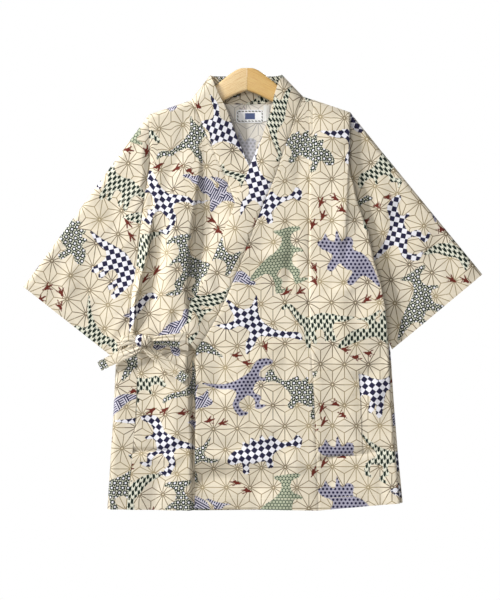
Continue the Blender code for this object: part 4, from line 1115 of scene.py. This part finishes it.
# Ties. Rows: x, y, z of the middle and half the width, as the band runs.
tieFront = [(-93, -20.6, -436.2, 16), (-101, -22.6, -436, 13.5), (-109, -24, -435.4, 11.5),
            (-122, -26, -435, 9.4), (-136, -28, -435, 7.6), (-152, -29.5, -435.6, 5.4)]
tieLoop = [(-172, -29, -434.5, 5), (-177.6, -30, -434, 6.5), (-188, -32, -434, 8), (-197, -31, -436, 7.6),
           (-200.5, -27, -437, 6), (-195, -23.5, -436, 7), (-184, -24, -436, 6)]
tieEndLeft = [(-166, -27, -445, 4), (-172.4, -28.5, -448, 6), (-186, -27, -454, 8), (-204, -24, -461, 8),
              (-220, -18, -469, 8), (-235, -15, -476.5, 8)]
tieEndRight = [(-163, -27, -444, 5), (-159.4, -28, -447.6, 6), (-148, -26.5, -457, 7.6),
               (-130, -24.5, -472, 8), (-112, -25.5, -486, 8), (-97, -27, -497, 8)]
tie = {"grain": 1.6, "across": 15, "flatHalf": 11.5, "stitch": 1.7}


def smoothPath(rows):            # points and half widths along a curve through the rows
    rows = np.array(rows, float)
    ghost = np.concatenate([[2 * rows[0] - rows[1]], rows, [2 * rows[-1] - rows[-2]]])
    fine = [splinePoint(*around, part) for around in zip(ghost, ghost[1:], ghost[2:], ghost[3:])
            for part in np.arange(12) / 12]
    fine = np.array(fine + [rows[-1]])
    run = runOf(fine[:, :3])
    spots = np.linspace(0, run[-1], round(run[-1] / tie["grain"]) + 1)
    return np.stack([np.interp(spots, run, fine[:, k]) for k in range(4)], axis=1), spots


def ribbonPoints(rows, pleats, wave=0.0, upright=False):
    # a band square to its path, or upright; pleats gives how deep its lengthwise folds are along it
    path, spots = smoothPath(rows)
    run = np.gradient(path[:, [0, 2]], axis=0)
    run = np.broadcast_to((-1.0, 0.0), run.shape) if upright else run / np.linalg.norm(run, axis=1)[:, None]
    part = np.linspace(-1, 1, tie["across"])
    x = path[:, 0:1] - run[:, 1:2] * path[:, 3:4] * part
    z = path[:, 2:3] + run[:, 0:1] * path[:, 3:4] * part
    depth = pleats(spots / spots[-1])[:, None]
    y = path[:, 1:2] - depth * (np.cos(part * 2.6 * pi + 0.4) * 0.5 + 0.5 * np.cos(part * pi))
    y = y + wave * np.sin(spots / 9)[:, None] * (1 - part ** 2)
    flat = np.stack(np.broadcast_arrays(spots[:, None], tie["flatHalf"] * part), axis=2)
    return np.stack([x, y, z], axis=2), flat


def oneFill(inside, fill, places):   # a print of one filling, given how far inside it each place is
    return [np.broadcast_to(values, places.shape[:2]).astype(float)
            for values in (inside, fills[fill], bare)]


def tiePiece(name, node, rows, pleats, start, lookAt, figure=lambda run, across, length: bare, **more):
    # figure gives how far inside the patterned part of the tie a place is
    points, flat = ribbonPoints(rows, pleats, **more)
    inside = figure(flat[..., 0], flat[..., 1], flat[-1, 0, 0])
    clothPiece(name, node, points, flat + start, look=(lookAt, 0.5, -1), rests="front_right",
               wall=cloth["bandWall"], inside="right", printed=partial(oneFill, inside, "lattice"),
               stitch=tie["flatHalf"] - tie["stitch"] - abs(flat[..., 1]))


def endPleats(s):
    return 2.2 - 1.9 * rise(s, 0, 0.6)


tiePiece("tieBelt", "tie_front", tieFront, lambda s: 0.8 + 2.8 * rise(s, 0.1, 0.9), (205, 118), 0.4,
         lambda run, across, length: np.minimum(across - 1, np.minimum(run - 14, length - 4 - run)))
tiePiece("tieLoopBand", "tie_loop", tieLoop, lambda s: 1.4 - 0.5 * s, (60, 20), 0.2, upright=True)
tiePiece("tieEndOuter", "tie_end_left", tieEndLeft, endPleats, (100, 118), 0.5,
         lambda run, across, length: run - length + 13, wave=0.5)
tiePiece("tieEndInner", "tie_end_right", tieEndRight, endPleats, (88, 330), 0.5,
         lambda run, across, length: run - length + 15, wave=0.5)

# The knot: a band wound round the tie, as a barrel with pleats along its turn

knot = {"x": -163.5, "y": -29.5, "z": -436.0, "long": 14.5, "deep": 9.5, "tall": 11.0, "pleats": 4.2,
        "pleatDepth": 1.5, "tilt": -20, "turnSteps": 72, "alongSteps": 40, "start": (300, 20),
        "checkEnd": 296.5}


def knotPoints():
    turns = np.linspace(0, 2 * pi, knot["turnSteps"] + 1)[:-1]
    along = np.linspace(-1, 1, knot["alongSteps"] + 1)
    tilt, rings = radians(knot["tilt"]), []
    for s in along:
        waist = (1 - abs(s) ** 2.6) ** 0.5
        lip = 0.86 + 0.14 * waist
        fold = np.abs(np.cos(knot["pleats"] * pi * (s + 0.35 * np.sin(turns)) / 2))
        ripple = 1 - knot["pleatDepth"] / knot["deep"] * (1 - fold) ** 2
        radius = (waist * 0.93 + 0.07) * lip * ripple
        x = knot["long"] * s * (1 + 0.03 * np.cos(turns))
        y, z = knot["deep"] * radius * np.cos(turns), knot["tall"] * radius * np.sin(turns)
        rings.append(np.stack([knot["x"] + x * cos(tilt) - z * sin(tilt) * 0.4, knot["y"] + y,
                               knot["z"] + z + x * sin(tilt) * 0.5], axis=1))
    flat = np.stack(np.broadcast_arrays(knot["long"] * along[:, None], knot["tall"] * turns[None]), axis=2)
    return np.stack(rings), flat + knot["start"]


points, flat = knotPoints()
mesh = sheetMesh("tieKnot", points, flat, (0.5, 0.5, -1), ring=True,
                 printed=partial(oneFill, knot["checkEnd"] - flat[..., 0], "check"))
tieKnot = linkedPiece("tieKnot", mesh)
editWhole(tieKnot, partial(bpy.ops.mesh.fill_holes, sides=0), bpy.ops.mesh.normals_make_consistent)
mesh.shade_smooth()
standFor(tieKnot, "tie_knot")
print("ties made")

# Hanger: two halves of beech, meeting at the crown

hanger = {"halfThick": 6.0, "joint": 0.15, "round": 3.4, "roundSteps": 5, "columns": 70, "rows": 8}
# Half of its outline, from the joint to the tip, the crown alike on both sides and then each arm.
# Rows: x from the joint, z of the top, z of the underside.
crown = [(0, 0, -36), (10, -0.2, -39.5), (18, -3.6, -42.5), (27, -9.5, -47), (39, -19, -53),
         (50, -28.5, -58)]
leftArm = [(66, -44, -64.5), (83, -52, -70.5), (97, -53.5, -73), (125, -62, -83.5), (146, -68.5, -86.5),
           (153, -70.5, -86), (157.5, -73.5, -84), (158.8, -77, -80.5)]
rightArm = [(66, -47, -65), (83, -58, -71), (97, -60.5, -75.5), (120, -66.5, -84), (138, -71.5, -92),
            (145, -73, -91.5), (149.5, -76.5, -88), (150.8, -80, -84.5)]


def beech(name, light, dark):
    # beech, planed and lacquered: pale and close grained, with short darker flecks and a soft shine
    made, add = startMaterial(name, 0.38, **{"Coat Weight": 0.25, "Coat Roughness": 0.25})
    # the grain runs down each arm: measured along and across it
    x, y, z = add("SeparateXYZ", placeInMm(add)).outputs
    away = add("Math ABSOLUTE", x)
    grain = add("CombineXYZ", away, y, add("Math MULTIPLY_ADD", away, 0.5, z))
    bands = add("TexNoise", add("VectorMath MULTIPLY", grain, (0.006, 0.05, 0.11)), 1.0, 4.0,
                at={"Distortion": 0.6, "Roughness": 0.6})
    pores = add("TexNoise", add("VectorMath MULTIPLY", grain, (0.05, 0.8, 1.5)), 1.0, 2.0)
    flecks = add("TexVoronoi", add("VectorMath MULTIPLY", grain, (0.22, 0.9, 0.62)), at={"Scale": 1.0})
    colour = add("Mix RGBA", add("MapRange", bands, 0.3, 0.7), linear(light), linear(dark))
    colour = add("Mix RGBA", add("MapRange", pores, 0.5, 0.74), colour, linear("#c98f4e"))
    fleck = add("Math MULTIPLY", add("MapRange", flecks, 0.23, 0.09), 0.4)
    return endMaterial(made, add("Mix RGBA", fleck, colour, linear("#a8703a")), pores, 0.12, 0.0004)


def hangerHalf(name, node, arm, sign, material):
    # a grid primitive shaped to the arm's outline, given its thickness and rounded edges
    piece = gridPiece(name, hanger)
    mesh, rows = piece.data, np.array(crown + arm, float)
    joint, thick = hanger["joint"], 2 * hanger["halfThick"] * mm
    for vert in mesh.vertices:
        away = (vert.co.x + 0.5) * (rows[-1, 0] - joint) + joint
        up, low = (np.mean([np.interp(away + shift, rows[:, 0], rows[:, k]) for shift in (-2, -1, 0, 1, 2)])
                   for k in (1, 2))
        vert.co = (sign * away * mm, -thick / 2, (low + (up - low) * (vert.co.y + 0.5)) * mm)
    extrude = partial(bpy.ops.mesh.extrude_region_move, TRANSFORM_OT_translate={"value": (0, thick, 0)})
    editWhole(piece, partial(bpy.ops.mesh.dissolve_limited, angle_limit=radians(0.05)), extrude,
              bpy.ops.mesh.normals_make_consistent)
    weight = mesh.attributes.new("bevel_weight_edge", "FLOAT", "EDGE")
    for edge in mesh.edges:
        a, b = (mesh.vertices[i].co for i in edge.vertices)
        atJoint = abs(a.x) < 0.5 * mm and abs(b.x) < 0.5 * mm
        weight.data[edge.index].value = 0.0 if atJoint or abs(a.y - b.y) > mm else 1.0
    bevel = piece.modifiers.new("Rounded edges", "BEVEL")
    bevel.width, bevel.segments, bevel.limit_method = hanger["round"] * mm, hanger["roundSteps"], "WEIGHT"
    applyModifiers(piece)
    mesh.materials.append(material)
    bpy.ops.object.shade_smooth_by_angle(angle=radians(35))
    standFor(piece, node)


# The halves differ in colour. The wearer's right half (at -X, the side the light falls on) is paler, partly
# from a real difference in the wood and partly as painted light. The wearer's left half is darker and more
# yellow, partly as painted shade.
hangerHalf("hangerLeft", "hanger_left", leftArm, 1, beech("beechYellowAndPaintedShade", "#dfbc79", "#d6ac62"))
hangerHalf("hangerRight", "hanger_right", rightArm, -1, beech("beechPinkAndPaintedLight", "#eed3a0", "#e6c68f"))
print("hanger made")

# Floor, light and camera

stage = {"floorZ": -1.3, "floorLow": (-3.2, -3.6), "floorHigh": (3.2, 2.6), "ambient": 0.23, "white": 1.0,
         "middle": (0, 0, -0.35)}
key = {"turns": (22, 33), "away": 6.3, "up": 3.3, "power": 1500, "soft": 0.5, "spread": 11, "blend": 0.35}
camera = {"x": 4.8, "z": -371.0, "away": 3000.0, "lens": 112.5, "sensor": 36, "near": 0.05, "far": 50}


def softFloor():
    # matt white paper sweep
    made, add = startMaterial("paperSweep", 0.9)
    grit = add("TexNoise", add("TexCoord").outputs["Object"], 6.0, 3.0)
    return endMaterial(made, add("Mix RGBA", grit, linear("#f4f3f1"), linear("#efeeeb")))


(left, front), (right, behind) = stage["floorLow"], stage["floorHigh"]
deselectAll()
bpy.ops.mesh.primitive_plane_add(size=1, location=(0, (front + behind) / 2, stage["floorZ"]))
floor = bpy.context.active_object
floor.name = "floor"
floor.scale = (right - left, behind - front, 1)
floor.data.materials.append(softFloor())

world = bpy.data.worlds.new("studio")
bpy.context.scene.world = world
world.use_nodes = True
tree = world.node_tree
add = partial(addNode, tree)
sky = tree.nodes["Background"]
sky.inputs["Color"].default_value = (1, 1, 1, 1)
feed(tree, sky.inputs["Strength"], add("Mix FLOAT", add("LightPath").outputs["Is Camera Ray"],
                                       stage["ambient"], stage["white"]))


def lamp(name, kind, place, **settings):     # a light that points at the jinbei
    deselectAll()
    bpy.ops.object.light_add(type=kind, location=place)
    light = bpy.context.active_object
    light.name = name
    for setting, value in settings.items():
        setattr(light.data, setting, value)
    light.rotation_mode = "QUATERNION"
    light.rotation_quaternion = (Vector(stage["middle"]) - Vector(place)).to_track_quat("-Z", "Y")


lamp("fill", "AREA", (-1.4, -4.7, 1.0), shape="DISK", size=2.2, energy=58)
lamp("behind", "AREA", (1.6, 3.4, 1.4), shape="DISK", size=1.6, energy=110)
for turn in key["turns"]:
    # two gridded heads side by side on the jinbei only, so the shadows fade and the floor stays quiet
    place = (-key["away"] * cos(radians(turn)), -key["away"] * sin(radians(turn)), key["up"])
    lamp("keyHead", "SPOT", place, energy=key["power"], shadow_soft_size=key["soft"],
         spot_size=radians(key["spread"]), spot_blend=key["blend"])

lens = bpy.data.cameras.new("photoCamera")
lens.lens, lens.sensor_width, lens.sensor_fit = camera["lens"], camera["sensor"], "AUTO"
lens.clip_start, lens.clip_end = camera["near"], camera["far"]
eye = bpy.data.objects.new("photoCamera", lens)
eye.location = (camera["x"] * mm, -camera["away"] * mm, camera["z"] * mm)
eye.rotation_euler = (radians(90), 0, 0)
bpy.context.scene.collection.objects.link(eye)
bpy.context.scene.camera = eye
print("stage set")
